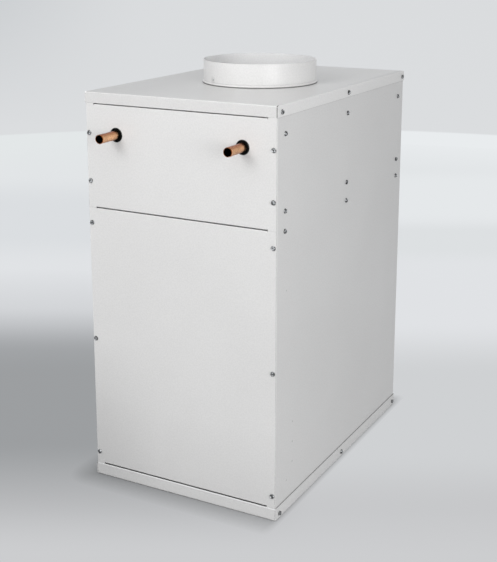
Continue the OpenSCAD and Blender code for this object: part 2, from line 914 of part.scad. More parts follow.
// Motor turned round its shaft: a can with stepped end shields and a bearing boss
module motor_case() {
  r = motor_d / 2;
  tail = motor_end_x - motor_l;
  boss_r = 22;
  gland_l = 5;
  color("#3a3d40") at_axis() difference() {
    rod_y(cable_x, -r, 0, cable_r + 4, 2 * gland_l);
    rod_y(cable_x, -r - gland_l / 2, 0, cable_r, 2 * gland_l);
  }
  color("#3a3d40") at_axis() difference() {
    translate([tail, 0, 0]) rotate([0, 90, 0]) {
      cylinder(h = 6, r = r - 12);
      translate([0, 0, 6]) cylinder(h = 8, r1 = r - 12, r2 = r - 2);
      translate([0, 0, 14]) cylinder(h = motor_l - 34, r = r);
      translate([0, 0, motor_l - 20]) cylinder(h = 8, r1 = r - 2, r2 = r - 12);
      translate([0, 0, motor_l - 12]) cylinder(h = 4, r = r - 12);
      translate([0, 0, motor_l - 8]) cylinder(h = 8, r = boss_r);
    }
    rod_x(motor_end_x - bearing_depth / 2, 0, 0, shaft_d / 2 + bearing_gap, bearing_depth + 2);
    rod_y(cable_x, -r - gland_l / 2, 0, cable_r, 2 * gland_l);
    for (i = [0 : 11]) rotate([i * 30, 0, 0])
      translate([tail - 1, r - 30, -2.5]) cube([4, 14, 5]);
  }
}

// Belly band round the motor with three arms bolted to the housing
module motor_band() {
  r = motor_d / 2;
  band_t = 1.6;
  arm_t = 2.4;
  arm_w = 20;
  foot_x = -side_x - 2 * sheet;
  arm_x = band_x;
  color("lightsteelblue") at_axis() {
    along_x(band_x - band_w / 2, band_w) difference() {
      circle(r + band_t);
      circle(r);
    }
    for (i = [0 : arm_count - 1]) rotate([ring_bolt_angle(2 * i), 0, 0]) {
      block([arm_x, r + band_t - 0.4, -arm_w / 2], [arm_x + arm_t, arm_foot_r - 8, arm_w / 2]);
      block([arm_x, arm_foot_r - 8 - arm_t, -arm_w / 2], [foot_x, arm_foot_r - 8, arm_w / 2]);
      difference() {
        block([foot_x - arm_t, arm_foot_r - 10, -arm_w / 2], [foot_x, arm_foot_r + 9, arm_w / 2]);
        rod_x(foot_x, arm_foot_r, 0, screw_hole_d / 2, 20);
      }
    }
  }
}

module motor_arm_bolts() {
  foot_x = -side_x - 2 * sheet;
  arm_t = 2.4;
  color("gray") at_axis() for (i = [0 : arm_count - 1]) rotate([ring_bolt_angle(2 * i), 0, 0])
    translate([foot_x - arm_t, arm_foot_r, 0]) rotate([0, -90, 0]) hex_screw();
}

// Quarter bend of round cable between two straight runs, in its own plane
module cable_bend() {
  rotate_extrude(angle = 90) translate([cable_bend_r, 0]) circle(cable_r);
}

// Cable that leaves the front of the motor, drops beside the blower and runs to the control box
module motor_cable() {
  start_y = axis_y - motor_d / 2 + 1;
  drop_y = cable_y + cable_bend_r;
  color("#202224") {
    rod_y(cable_x, (start_y + drop_y) / 2, axis_z, cable_r, start_y - drop_y);
    translate([cable_x, drop_y, axis_z - cable_bend_r])
      rotate([0, 90, 0]) rotate([0, 0, 180]) cable_bend();
    translate([cable_x, cable_y, cable_z + cable_bend_r])
      cylinder(h = axis_z - cable_z - 2 * cable_bend_r, r = cable_r);
    translate([cable_x + cable_bend_r, cable_y, cable_z + cable_bend_r])
      rotate([90, 0, 0]) rotate([0, 0, 180]) cable_bend();
    rod_x((cable_x + cable_bend_r + box_low[0] + 16) / 2, cable_y, cable_z, cable_r,
      box_low[0] + 16 - cable_x - cable_bend_r);
  }
}

// Grooved bushing that lines the cable's hole in the control box
module cable_bushing() {
  lip = 2;
  color("#181818") translate([box_low[0], cable_y, cable_z]) rotate([0, 90, 0]) difference() {
    union() {
      translate([0, 0, -lip]) cylinder(h = sheet + 2 * lip, r = bushing_r - 2);
      translate([0, 0, -lip]) cylinder(h = lip, r = bushing_r);
      translate([0, 0, sheet]) cylinder(h = lip, r = bushing_r);
    }
    translate([0, 0, -lip - 1]) cylinder(h = sheet + 2 * lip + 2, r = cable_r);
  }
}

// Open-fronted tray that carries the controls
module control_box() {
  color("lightsteelblue") difference() {
    block(box_low, box_high);
    block(box_low + [sheet, -1, sheet], box_high - [sheet, sheet, sheet]);
    for (spot = rivet_spots) rod_x(half_w, from_front(spot[0]), spot[1], rivet_hole_r, 20);
    rod_x(box_low[0], cable_y, cable_z, bushing_r - 2, 20);
  }
}

// Cover over the circuit board, with two screw holes at its free edge
module control_cover() {
  low = [box_low[0] + sheet, box_low[1], cover_low_z];
  high = [box_high[0] - sheet, box_low[1] + sheet, box_high[2] - sheet];
  color("lightsteelblue") difference() {
    block(low, high);
    for (z = [low[2] + 10, high[2] - 10]) rod_y(low[0] + 11, low[1], z, 2, 10);
  }
}

// Board on four posts with its relays, a chip and a row of terminals
module control_board() {
  edge = 8;
  relay = [20, 15, 28];
  chip = [22, 6, 22];
  color("darkgreen") {
    translate(board_low) cube(board_size);
    for (x = [edge, board_size[0] - edge], z = [edge, board_size[2] - edge])
      translate(board_low + [x, board_size[1], z]) rotate([-90, 0, 0])
        cylinder(h = 12 - board_size[1], r = 3);
  }
  color("#202020") {
    for (x = [18, 44, 70]) translate(board_low + [x, -relay[1], 100]) cube(relay);
    translate(board_low + [100, -chip[1], 78]) cube(chip);
    for (x = [30, 52]) translate(board_low + [x, 0, 62]) rotate([90, 0, 0])
      cylinder(h = 18, r = 8);
  }
  color("seagreen") translate(board_low + [14, -11, 6]) cube([120, 11, 14]);
}

// Transformer: a laminated core between end bells, with its winding proud above and below
module transformer() {
  color("#4a4a4c") translate(transformer_centre) {
    block([-34, -2, -21], [34, 0, 21]);
    block([-24, -42, -20], [24, -2, 20]);
  }
  color("wheat") translate(transformer_centre) for (z = [-26, 20])
    block([-17, -36, z], [17, -8, z + 6]);
}

module blower_relay() {
  size = [22, 34, 34];
  blade = [4, 7, 1.2];
  color("#dcdcd4") {
    translate(relay_low) cube(size);
    for (x = [4, 14]) translate(relay_low + [x, -blade[1], 8]) cube(blade);
  }
}

// Round capacitor with a crimped rim and two blade terminals
module run_capacitor() {
  color("silver")
    translate([cap_centre[0], box_plate_y - cap_stand, cap_centre[1] - cap_l / 2]) {
      cylinder(h = cap_l, r = cap_r);
      translate([0, 0, cap_l]) cylinder(h = 2.5, r = cap_r + 1);
      for (x = [-7, 7]) translate([x - 0.5, -3, cap_l + 2]) cube([1, 6, 9]);
    }
}

// Strap bent round the capacitor, with a foot at each side on the back of the box
module capacitor_strap() {
  strap_t = 1;
  strap_w = 14;
  foot = 10;
  color("lightsteelblue")
    translate([cap_centre[0], box_plate_y - cap_stand, cap_centre[1] - strap_w / 2])
      linear_extrude(strap_w) {
        difference() {
          circle(cap_r + strap_t);
          circle(cap_r);
          translate([-cap_r - 5, 0]) square([2 * cap_r + 10, cap_r + 5]);
        }
        for (side = [-1, 1]) {
          translate([side > 0 ? cap_r : -cap_r - strap_t, 0]) square([strap_t, cap_stand]);
          translate([side > 0 ? cap_r : -cap_r - foot, cap_stand - strap_t])
            square([foot, strap_t]);
        }
      }
}

module terminal_block() {
  size = [terminal_poles * terminal_pole_w, 16, 24];
  well_r = 4.5;
  color("#26282a") difference() {
    translate(terminal_low) cube(size);
    terminal_row(-1, 7, well_r);
  }
  color("gold") terminal_row(3, 3, well_r - 1.1);
}

// One round piece in each pole of the terminal block, this far behind its face
module terminal_row(depth, length, r) {
  for (i = [0 : terminal_poles - 1])
    translate(terminal_low + [(i + 0.5) * terminal_pole_w, depth, 12]) rotate([-90, 0, 0])
      cylinder(h = length, r = r);
}

module panel_rivets() {
  color("white") for (spot = rivet_spots)
    translate([panel_x, from_front(spot[0]), spot[1]]) rotate([0, 90, 0]) pop_rivet(2.6, 3.6, 1.2);
}

// Snap-in plugs in the unused holes for field wiring
module hole_plugs() {
  skirt_r = plug_hole_r - 0.1;
  skirt_l = 4;
  color("#d8d8d8") for (spot = plug_spots)
    translate([-panel_x, from_front(spot[0]), spot[1]]) rotate([0, -90, 0]) {
      cylinder(h = 1.5, r = plug_hole_r + 1.9);
      translate([0, 0, -skirt_l]) difference() {
        cylinder(h = skirt_l + 1, r = skirt_r);
        translate([0, 0, -1]) cylinder(h = skirt_l, r = skirt_r - 1.5);
      }
    }
}

module front_screws() {
  color("silver")
    front_screw_rows(front_y, concat(upper_screw_z, lower_screw_z), [-front_screw_x, front_screw_x]);
}

module back_screws() {
  color("silver") {
    front_screw_rows(back_y, back_screw_z, [-front_screw_x, front_screw_x], true);
    front_screw_rows(back_y, [cap_screw_z], cap_back_x, true);
  }
}

module side_screws() {
  color("silver") side_screw_rows(panel_x, side_screw_d, side_screw_z);
}

module cap_and_tray_screws() {
  color("silver") side_screw_rows(half_w, edge_screw_d, [cap_screw_z, tray_screw_z]);
}

module deck_screws() {
  color("silver") for (spot = deck_screw_spots())
    translate([spot[0], spot[1], deck_z]) hex_screw();
}

base_tray();
left_side_panel();
right_side_panel();
back_panel();
top_cap();
upper_front_panel();
lower_front_panel();
supply_collar();
collar_rivets();
left_liner();
right_liner();
back_liner();
cap_liner();
front_liner();
pipe_grommets();
inlet_header();
outlet_header();
air_vent();
coil_tubes();
coil_fins();
coil_front_plate();
coil_back_plate();
left_coil_rail();
right_coil_rail();
front_coil_baffle();
back_coil_baffle();
blower_deck();
scroll_wrap();
left_housing_side();
right_housing_side();
left_inlet_ring();
right_inlet_ring();
cutoff_plate();
blower_wheel();
wheel_hub();
hub_set_screw();
motor_shaft();
motor_case();
motor_band();
motor_arm_bolts();
motor_cable();
cable_bushing();
control_box();
control_board();
transformer();
blower_relay();
run_capacitor();
capacitor_strap();
terminal_block();
control_cover();
panel_rivets();
hole_plugs();
front_screws();
side_screws();
cap_and_tray_screws();
back_screws();
deck_screws();
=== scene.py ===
"""Finishes, fasteners, fins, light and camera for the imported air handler."""
import json
import math
import random

import bmesh
import bpy
from mathutils import Matrix, Vector


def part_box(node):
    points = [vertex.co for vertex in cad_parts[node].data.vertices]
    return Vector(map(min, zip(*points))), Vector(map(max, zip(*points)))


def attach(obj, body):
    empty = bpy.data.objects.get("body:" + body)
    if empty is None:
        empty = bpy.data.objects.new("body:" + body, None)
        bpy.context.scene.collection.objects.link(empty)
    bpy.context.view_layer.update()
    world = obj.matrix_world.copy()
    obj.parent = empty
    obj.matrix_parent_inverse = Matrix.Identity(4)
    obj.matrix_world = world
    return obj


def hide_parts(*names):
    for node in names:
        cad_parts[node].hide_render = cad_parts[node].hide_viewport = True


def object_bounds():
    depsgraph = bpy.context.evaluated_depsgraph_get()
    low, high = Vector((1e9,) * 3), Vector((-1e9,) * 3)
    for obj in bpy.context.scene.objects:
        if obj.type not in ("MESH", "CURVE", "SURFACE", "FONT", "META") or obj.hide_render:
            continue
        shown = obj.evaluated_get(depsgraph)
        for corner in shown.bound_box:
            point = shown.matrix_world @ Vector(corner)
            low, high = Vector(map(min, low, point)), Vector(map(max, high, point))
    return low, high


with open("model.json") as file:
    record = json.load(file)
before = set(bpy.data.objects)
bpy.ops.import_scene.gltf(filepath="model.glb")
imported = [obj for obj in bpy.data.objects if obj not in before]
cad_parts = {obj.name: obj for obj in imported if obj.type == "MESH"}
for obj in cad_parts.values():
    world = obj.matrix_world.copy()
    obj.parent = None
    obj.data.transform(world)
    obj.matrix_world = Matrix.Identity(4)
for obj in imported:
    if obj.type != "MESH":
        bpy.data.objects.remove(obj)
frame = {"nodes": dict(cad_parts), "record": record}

bl_info = {
    "name": "Air handler dressing",
    "version": (1, 0, 0),
    "blender": (4, 5, 0),
    "location": "View3D > Sidebar > Air handler",
    "description": "Dresses the air handler's CAD frame with finishes and fine parts",
    "category": "Object",
}

CAD_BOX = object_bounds()
MM = 0.001

# The photograph's camera, fitted to the object's edges: turn, tilt, place, lens and shift
VIEW_YAW = math.radians(28.33)
VIEW_PITCH = math.radians(13.02)
VIEW_PLACE = (1.1426, -2.1293, 1.1596)
VIEW_LENS = 69.69
VIEW_SHIFT = -0.15

# Screws by node, with the way that their heads face; all 0 where each faces out of its side
SCREW_FACES = {
    "front_screws": (0, -1, 0),
    "back_screws": (0, 1, 0),
    "side_screws": (0, 0, 0),
    "cap_and_tray_screws": (0, 0, 0),
    "deck_screws": (0, 0, 1),
    "motor_arm_bolts": (-1, 0, 0),
}


def linear(red, green, blue):
    """Linear colour of a screen colour from 0 to 255."""
    def channel(value):
        value /= 255
        return value / 12.92 if value <= 0.04045 else ((value + 0.055) / 1.055) ** 2.4
    return (channel(red), channel(green), channel(blue))


def grey(value):
    return linear(value, value, value)


def scaled(colour, factor):
    return tuple(min(1.0, channel * factor) for channel in colour)


# Very dark painted shade, for the coat inside a slit or a notch
SLIT_SHADE = grey(8)


def look():
    return bpy.context.scene.air_handler


def corners(node):
    """Low and high corner of a CAD node's box."""
    low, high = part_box(node)
    return Vector(low), Vector(high)


def mount(name):
    """The place in metres and the radius of a round mount of the record."""
    for item in frame["record"]["mounts"]:
        if item["name"] == name:
            return item["pos_m"], item["dims"]["r_mm"] * MM
    raise LookupError(name)


# Materials


class Finish:
    """Builds one procedural material on Object coordinates."""

    def __init__(self, name, colour, roughness, metallic=0.0):
        self.material = bpy.data.materials.new(name)
        self.material.use_nodes = True
        self.tree = self.material.node_tree
        self.tree.nodes.clear()
        self.out = self.add("ShaderNodeOutputMaterial")
        self.shader = self.add("ShaderNodeBsdfPrincipled")
        self.link(self.shader.outputs[0], self.out.inputs[0])
        self.place = self.add("ShaderNodeTexCoord").outputs["Object"]
        self.shader.inputs["Base Color"].default_value = (*colour, 1)
        self.shader.inputs["Roughness"].default_value = roughness
        self.shader.inputs["Metallic"].default_value = metallic
        self.normal = None

    def add(self, kind, **settings):
        node = self.tree.nodes.new(kind)
        for key, value in settings.items():
            setattr(node, key, value)
        return node

    def link(self, source, target):
        self.tree.links.new(source, target)

    def stretched(self, stretch):
        node = self.add("ShaderNodeMapping")
        node.inputs["Scale"].default_value = stretch
        self.link(self.place, node.inputs["Vector"])
        return node.outputs[0]

    def noise(self, scale, detail=2.0, stretch=None):
        node = self.add("ShaderNodeTexNoise")
        node.inputs["Scale"].default_value = scale
        node.inputs["Detail"].default_value = detail
        self.link(self.stretched(stretch) if stretch else self.place, node.inputs["Vector"])
        return node.outputs["Fac"]

    def cells(self, scale, distance=False):
        node = self.add("ShaderNodeTexVoronoi")
        node.inputs["Scale"].default_value = scale
        self.link(self.place, node.inputs["Vector"])
        return node.outputs["Distance" if distance else "Color"]

    def along(self, axis, start, end):
        """0 at start to 1 at end along an axis of the object, in metres."""
        parts = self.add("ShaderNodeSeparateXYZ")
        self.link(self.place, parts.inputs[0])
        return self.spread(parts.outputs[axis], start, end)

    def spread(self, source, from_low, from_high, to_low=0.0, to_high=1.0, soft=False):
        node = self.add("ShaderNodeMapRange",
                        interpolation_type="SMOOTHSTEP" if soft else "LINEAR")
        for index, value in enumerate((from_low, from_high, to_low, to_high)):
            node.inputs[index + 1].default_value = value
        self.link(source, node.inputs[0])
        return node.outputs[0]

    def product(self, *sources):
        total = sources[0]
        for source in sources[1:]:
            node = self.add("ShaderNodeMath", operation="MULTIPLY")
            self.link(total, node.inputs[0])
            self.link(source, node.inputs[1])
            total = node.outputs[0]
        return total

    def mix(self, factor, low, high):
        """Colour that goes from low to high, each a colour or a socket."""
        node = self.add("ShaderNodeMix", data_type="RGBA")
        self.link(factor, node.inputs[0])
        for index, value in ((6, low), (7, high)):
            if isinstance(value, bpy.types.NodeSocket):
                self.link(value, node.inputs[index])
            else:
                node.inputs[index].default_value = (*value, 1)
        return node.outputs[2]

    def times(self, first, second):
        node = self.add("ShaderNodeMix", data_type="RGBA", blend_type="MULTIPLY")
        node.inputs[0].default_value = 1
        self.link(first, node.inputs[6])
        self.link(second, node.inputs[7])
        return node.outputs[2]

    def vector(self, operation, first, second=None):
        """Result of a vector operation with a socket and a socket or plain vector."""
        node = self.add("ShaderNodeVectorMath", operation=operation)
        self.link(first, node.inputs[0])
        if isinstance(second, bpy.types.NodeSocket):
            self.link(second, node.inputs[1])
        elif second is not None:
            node.inputs[1].default_value = second
        return node.outputs["Value" if operation == "LENGTH" else "Vector"]

    def outside(self, low, high):
        """Distance in metres from a box, 0 inside it."""
        low, high = Vector(low), Vector(high)
        middle = self.vector("SUBTRACT", self.place, (low + high) / 2)
        over = self.vector("SUBTRACT", self.vector("ABSOLUTE", middle), (high - low) / 2)
        return self.vector("LENGTH", self.vector("MAXIMUM", over, (0, 0, 0)))

    def inside(self, low, high, soft):
        """1 in a box, down to 0 at a distance from it."""
        return self.spread(self.outside(low, high), soft, 0)

    def beside(self, reach, soft):
        """0 up to a reach left and right of the middle plane, 1 past a soft edge."""
        wide = 10
        slab = Vector((reach, wide, wide))
        return self.spread(self.outside(-slab, slab), 0, soft)

    def falling(self, mask, low):
        """1 where a mask is 0, down to low where it is 1."""
        return self.spread(mask, 0, 1, 1, low)

    def dimmed(self, tone, mask, level):
        """The tone, darker by a level where the mask is 1."""
        return self.times(tone, self.falling(mask, level))

    def crevice(self, reach, low, darkest):
        """Painted shade: 1 in the open, down to darkest where other faces lie within reach."""
        node = self.add("ShaderNodeAmbientOcclusion", samples=12)
        node.inputs["Distance"].default_value = reach
        return self.spread(node.outputs["AO"], low, 0.92, darkest, 1.0)

    def colour(self, source):
        self.link(source, self.shader.inputs["Base Color"])

    def roughness(self, source, low, high):
        self.link(self.spread(source, 0.3, 0.7, low, high), self.shader.inputs["Roughness"])

    def bump(self, source, distance, strength=1.0):
        node = self.add("ShaderNodeBump")
        node.inputs["Strength"].default_value = strength
        node.inputs["Distance"].default_value = distance
        self.link(source, node.inputs["Height"])
        if self.normal:
            self.link(self.normal, node.inputs["Normal"])
        self.normal = node.outputs[0]
        self.link(self.normal, self.shader.inputs["Normal"])
        return self


def side_tones(finish, base, coat):
    """The coat with painted shade on the side rivets and painted light on the flanges over the
    side panels.
    """
    panel, _ = corners("left_side_panel")
    proud = 0.3 * MM
    above_tray = finish.along("Z", 0.03, 0.04)
    at_cap = finish.along("Z", 0.6, 0.8)
    # Painted light on the tray's side flange, painted shade on the side rivets
    tone = finish.mix(above_tray, scaled(base, 1.04), scaled(base, 0.72))
    # Painted light on the cap's side flanges
    tone = finish.mix(at_cap, tone, scaled(base, 1.13))
    return finish.mix(finish.beside(-panel.x + proud, proud), coat, tone)


def collar_tones(finish, base, coat):
    """The coat with painted light in the collar's bore, and darker round the front rivet."""
    centre, radius = mount("supply_collar")
    top = CAD_BOX[1][2]
    offset = finish.vector("SUBTRACT", finish.place, centre)
    from_axis = finish.vector("LENGTH", finish.vector("MULTIPLY", offset, (1, 1, 0)))
    bore = finish.product(finish.spread(from_axis, radius - 0.2 * MM, radius - 0.6 * MM),
                          finish.along("Z", top - 50 * MM, top - 44 * MM))
    # Painted light in the collar's bore
    coat = finish.mix(bore, coat, scaled(base, 1.32))
    low, high = corners("collar_rivets")
    rivet = Vector((low.x, low.y, (low.z + high.z) / 2))
    away = finish.vector("LENGTH", finish.vector("SUBTRACT", finish.place, rivet))
    return finish.mix(finish.spread(away, 10 * MM, 4 * MM), coat, scaled(base, 0.84))


def cap_marks(finish, base, coat):
    """The coat with painted light in the slit at the cap's left corner, painted shade in the one
    at its right corner, and painted shade on its front and far left.
    """
    low, high = corners("top_cap")
    near, far, soft = 0.8 * look().sheet, 2.9 * MM, 0.1 * MM
    front, back = low.y + 0.1 * MM, low.y + 6 * MM
    # Painted light in the slit at the cap's left corner
    lit = finish.inside((low.x + near, front, low.z), (low.x + far, back, high.z), soft)
    coat = finish.mix(lit, coat, scaled(base, 1.25))
    # Painted shade in the slit at the cap's right corner
    dark = finish.inside((high.x - far, front, low.z), (high.x - near, back, high.z), soft)
    coat = finish.mix(dark, coat, SLIT_SHADE)
    # Painted shade on the cap's front
    brow = finish.product(finish.along("Y", low.y + 0.5 * MM, low.y + 0.3 * MM),
                          finish.along("Z", low.z - 0.1 * MM, low.z + 0.1 * MM))
    coat = finish.dimmed(coat, brow, 0.94)
    # Painted shade on the far left of the cap's top
    far_left = finish.product(finish.along("Z", high.z - 0.4 * MM, high.z - 0.2 * MM),
                              finish.along("Z", high.z + 2 * MM, high.z + 1 * MM),
                              finish.along("X", 0.05, -0.15))
    return finish.dimmed(coat, far_left, 0.9)


def tray_marks(finish, base, coat):
    """The coat with painted shade in the joint over the tray's sides, a painted highlight on its
    front hem and painted shade in its notch.
    """
    low, high = corners("base_tray")
    # Painted shade in the joint over the tray's sides
    joint = finish.product(finish.along("Z", high.z - 0.2 * MM, high.z),
                           finish.along("Z", high.z + 1.6 * MM, high.z + 1.3 * MM),
                           finish.along("Y", low.y + 4 * MM, low.y + 6 * MM))
    coat = finish.mix(joint, coat, scaled(base, 0.42))
    # Painted highlight on the tray's front hem
    hem = finish.product(finish.along("Z", high.z - 2.6 * MM, high.z - 2 * MM),
                         finish.along("Z", high.z + 0.1 * MM, high.z),
                         finish.along("Y", low.y + 0.4 * MM, low.y + 0.2 * MM))
    coat = finish.mix(hem, coat, scaled(base, 1.3))
    # Painted shade in the notch at the tray's left corner
    notch = finish.inside((low.x + 0.5 * MM, low.y - 0.3 * MM, high.z - 2.4 * MM),
                          (low.x + 2 * MM, low.y + 4 * MM, high.z + 0.3 * MM), 0.2 * MM)
    return finish.mix(notch, coat, SLIT_SHADE)


def cabinet_shades(finish, coat):
    """The coat with painted shade: darker at the lower left front, at the foot and back along the
    right side.
    """
    low, high = corners("base_tray")
    front = finish.along("Y", low.y + 4 * MM, low.y + 2 * MM)
    # Painted shade at the lower left of the front
    lower_left_shade = finish.product(front, finish.along("Z", 0.33, 0.16), finish.along("X", -0.06, -0.2))
    coat = finish.dimmed(coat, lower_left_shade, 0.87)
    # Painted shade on the right side, darker towards the back
    far_side_shade = finish.product(finish.along("X", high.x - 15 * MM, high.x - 12 * MM),
                              finish.along("Y", low.y, high.y), finish.along("Z", -0.2, 0.6))
    coat = finish.dimmed(coat, far_side_shade, 0.88)
    # Painted shade at the foot of the front
    foot_shade = finish.product(front, finish.along("Z", 0.2, 0.04))
    return finish.dimmed(coat, foot_shade, 0.94)


def powder_coat():
    """Satin white coat with a fine orange-peel skin and a faint speckle, with painted shade in
    its seams and painted light and shade on its sides, collar, cap and tray.
    """
    base = look().coat_colour
    finish = Finish("powder_coat", base, 0.42)
    speckle = finish.spread(finish.noise(330, 3), 0.34, 0.66, 0.94, 1.0)
    cloud = finish.spread(finish.noise(5, 2), 0.35, 0.65)
    coat = finish.mix(cloud, scaled(base, 0.975), base)
    coat = side_tones(finish, base, coat)
    coat = collar_tones(finish, base, coat)
    coat = finish.times(coat, speckle)
    # Painted shade where other faces lie within 3 mm
    coat = finish.times(coat, finish.crevice(3 * MM, 0.3, 0.3))
    coat = cap_marks(finish, base, coat)
    coat = tray_marks(finish, base, coat)
    coat = cabinet_shades(finish, coat)
    finish.colour(coat)
    finish.roughness(finish.noise(240, 2), 0.29, 0.32)
    return finish.bump(finish.noise(700, 2), 0.00012, 0.35).material


def zinc():
    """Zinc plate with painted glints and shade in patches, darkest with painted shade on the side
    screws, palest with painted light on the collar's rivets, and with painted shade in its slots.
    """
    base = look().screw_colour
    finish = Finish("zinc", base, 0.2, 1)
    # Painted glints and shade in patches on each head
    glint_patch = finish.spread(finish.noise(260, 2), 0.44, 0.58)
    # Painted light and shade on the front screws and, darker, on the side screws
    front = finish.mix(glint_patch, scaled(base, 0.45), scaled(base, 2.3))
    side = finish.mix(glint_patch, scaled(base, 0.12), scaled(base, 2))
    panel, _ = corners("left_side_panel")
    plate = finish.mix(finish.beside(-panel.x - MM, 0.3 * MM), front, side)
    cap_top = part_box("top_cap")[1][2]
    above_cap = finish.along("Z", cap_top, cap_top + MM)
    # Painted light on the collar's rivets
    plate = finish.mix(above_cap, plate, scaled(base, 2.2))
    # Painted shade in the slots and hollows of the heads
    finish.colour(finish.times(plate, finish.crevice(2.5 * MM, 0.35, 0.05)))
    finish.roughness(finish.noise(1400, 2), 0.14, 0.24)
    return finish.bump(finish.noise(3000, 2), 0.00002, 0.4).material


def foil():
    base = grey(205)
    finish = Finish("foil", base, 0.36, 1)
    crease = finish.cells(70, distance=True)
    finish.colour(finish.mix(crease, scaled(base, 0.86), base))
    finish.roughness(finish.noise(60, 4), 0.28, 0.46)
    finish.bump(crease, 0.0006, 0.5)
    return finish.bump(finish.noise(30, 5), 0.0015, 0.5).material


def rubber():
    finish = Finish("rubber", grey(10), 0.75)
    finish.shader.inputs["Specular IOR Level"].default_value = 0.08
    bloom = finish.spread(finish.noise(260, 4), 0.35, 0.7, 0, 1)
    finish.colour(finish.mix(bloom, grey(6), grey(18)))
    finish.roughness(finish.noise(150, 3), 0.6, 0.8)
    return finish.bump(finish.noise(900, 3), 0.00005, 0.5).material


def drawn_copper():
    """Drawn copper; the stubs have painted shade above and below their lit middle, very dark
    painted shade inside and painted shade near other faces, and are orange at the cut.
    """
    base = look().copper_colour
    edge_shade_colour, orange, black = (0.3, 0.082, 0.02), (0.42, 0.13, 0.035), (0.012, 0.007, 0.005)
    finish = Finish("drawn_copper", base, 0.3, 1)
    drawn = finish.spread(finish.noise(130, 4, (1, 0.05, 1)), 0.32, 0.68)
    stain = finish.spread(finish.noise(42, 5), 0.44, 0.66)
    body = finish.mix(drawn, scaled(base, 0.85), scaled(base, 1.15))
    tone = finish.mix(stain, body, scaled(base, 0.7))
    (stub_x, _, stub_z), stub_r = mount("water_outlet")
    end_y, panel_y = CAD_BOX[0][1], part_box("upper_front_panel")[0][1]
    shown = finish.along("Y", panel_y + 0.2 * MM, panel_y)
    # Painted shade on the stubs above and below their lit middle
    lit_half_height = 3.5 * MM
    wide = 10
    height = finish.outside((-wide, -wide, stub_z - lit_half_height), (wide, wide, stub_z + lit_half_height))
    edge_shade = finish.product(finish.spread(height, 0, 5.8 * MM), shown)
    tone = finish.mix(edge_shade, tone, edge_shade_colour)
    cut = finish.along("Y", end_y + 1.4 * MM, end_y + 0.4 * MM)
    tone = finish.mix(cut, tone, orange)
    mirrored = finish.vector("ABSOLUTE", finish.place)
    offset = finish.vector("SUBTRACT", mirrored, (stub_x, 0, stub_z))
    from_axis = finish.vector("LENGTH", finish.vector("MULTIPLY", offset, (1, 0, 1)))
    # Very dark painted shade inside the stubs
    bore = finish.product(finish.spread(from_axis, stub_r - 0.6 * MM, stub_r - 1 * MM), shown)
    tone = finish.mix(bore, tone, black)
    # Painted shade where other faces lie within 22 mm
    finish.colour(finish.times(tone, finish.crevice(22 * MM, 0.25, 0.04)))
    finish.roughness(finish.noise(90, 4), 0.2, 0.38)
    return finish.bump(finish.noise(500, 2, (1, 0.05, 1)), 0.00003, 0.5).material


def turned_brass():
    base = linear(196, 160, 92)
    finish = Finish("turned_brass", base, 0.28, 1)
    finish.colour(finish.mix(finish.noise(260, 3), scaled(base, 0.8), scaled(base, 1.1)))
    finish.roughness(finish.noise(420, 3), 0.2, 0.38)
    return finish.bump(finish.noise(1500, 2), 0.00002, 0.4).material


def mill_aluminium():
    base = grey(214)
    finish = Finish("mill_aluminium", base, 0.36, 1)
    rolled = finish.noise(160, 3, (1, 1, 0.05))
    finish.colour(finish.mix(rolled, scaled(base, 0.84), base))
    finish.roughness(rolled, 0.3, 0.46)
    return finish.bump(rolled, 0.00003, 0.5).material


def galvanised():
    """Zinc spangle: flat crystals, each with its own grey and sheen."""
    base = linear(188, 192, 196)
    finish = Finish("galvanised", base, 0.4, 1)
    crystal = finish.cells(95)
    finish.colour(finish.mix(crystal, scaled(base, 0.8), scaled(base, 1.06)))
    finish.roughness(crystal, 0.34, 0.5)
    return finish.bump(finish.noise(420, 3), 0.00003, 0.4).material


def wheel_zinc():
    base = linear(190, 193, 196)
    finish = Finish("wheel_zinc", base, 0.36, 1)
    crystal = finish.cells(150)
    finish.colour(finish.mix(crystal, scaled(base, 0.84), scaled(base, 1.04)))
    finish.roughness(finish.noise(110, 3), 0.3, 0.44)
    return finish.bump(finish.noise(300, 3), 0.00003, 0.4).material


def ground_steel():
    base = grey(168)
    finish = Finish("ground_steel", base, 0.24, 1)
    turned = finish.noise(900, 2, (1, 0.05, 0.05))
    finish.colour(finish.mix(turned, scaled(base, 0.82), scaled(base, 1.05)))
    finish.roughness(turned, 0.18, 0.32)
    return finish.bump(turned, 0.00001, 0.4).material


def motor_paint():
    base = linear(44, 47, 50)
    finish = Finish("motor_paint", base, 0.5)
    finish.colour(finish.mix(finish.noise(60, 3), scaled(base, 0.8), scaled(base, 1.2)))
    finish.roughness(finish.noise(180, 3), 0.42, 0.6)
    return finish.bump(finish.noise(650, 3), 0.00008, 0.5).material


def board():
    base = linear(22, 88, 48)
    finish = Finish("board", base, 0.34)
    tracks = finish.cells(300)
    finish.colour(finish.mix(tracks, scaled(base, 0.75), linear(46, 126, 70)))
    finish.roughness(finish.noise(500, 2), 0.28, 0.42)
    return finish.bump(tracks, 0.00003, 0.4).material


def laminations():
    base = grey(72)
    finish = Finish("laminations", base, 0.5, 0.6)
    sheets = finish.noise(2200, 1, (0.02, 0.02, 1))
    finish.colour(finish.mix(sheets, scaled(base, 0.6), scaled(base, 1.3)))
    finish.roughness(sheets, 0.42, 0.6)
    return finish.bump(sheets, 0.0001, 0.6).material


def plastic(name, base, low, high):
    finish = Finish(name, base, low)
    finish.colour(finish.mix(finish.noise(240, 3), scaled(base, 0.92), scaled(base, 1.03)))
    finish.roughness(finish.noise(420, 2), low, high)
    return finish.bump(finish.noise(1100, 2), 0.00003, 0.4).material


def pale_plastic():
    return plastic("pale_plastic", grey(216), 0.4, 0.52)


def dark_plastic():
    return plastic("dark_plastic", grey(40), 0.36, 0.5)


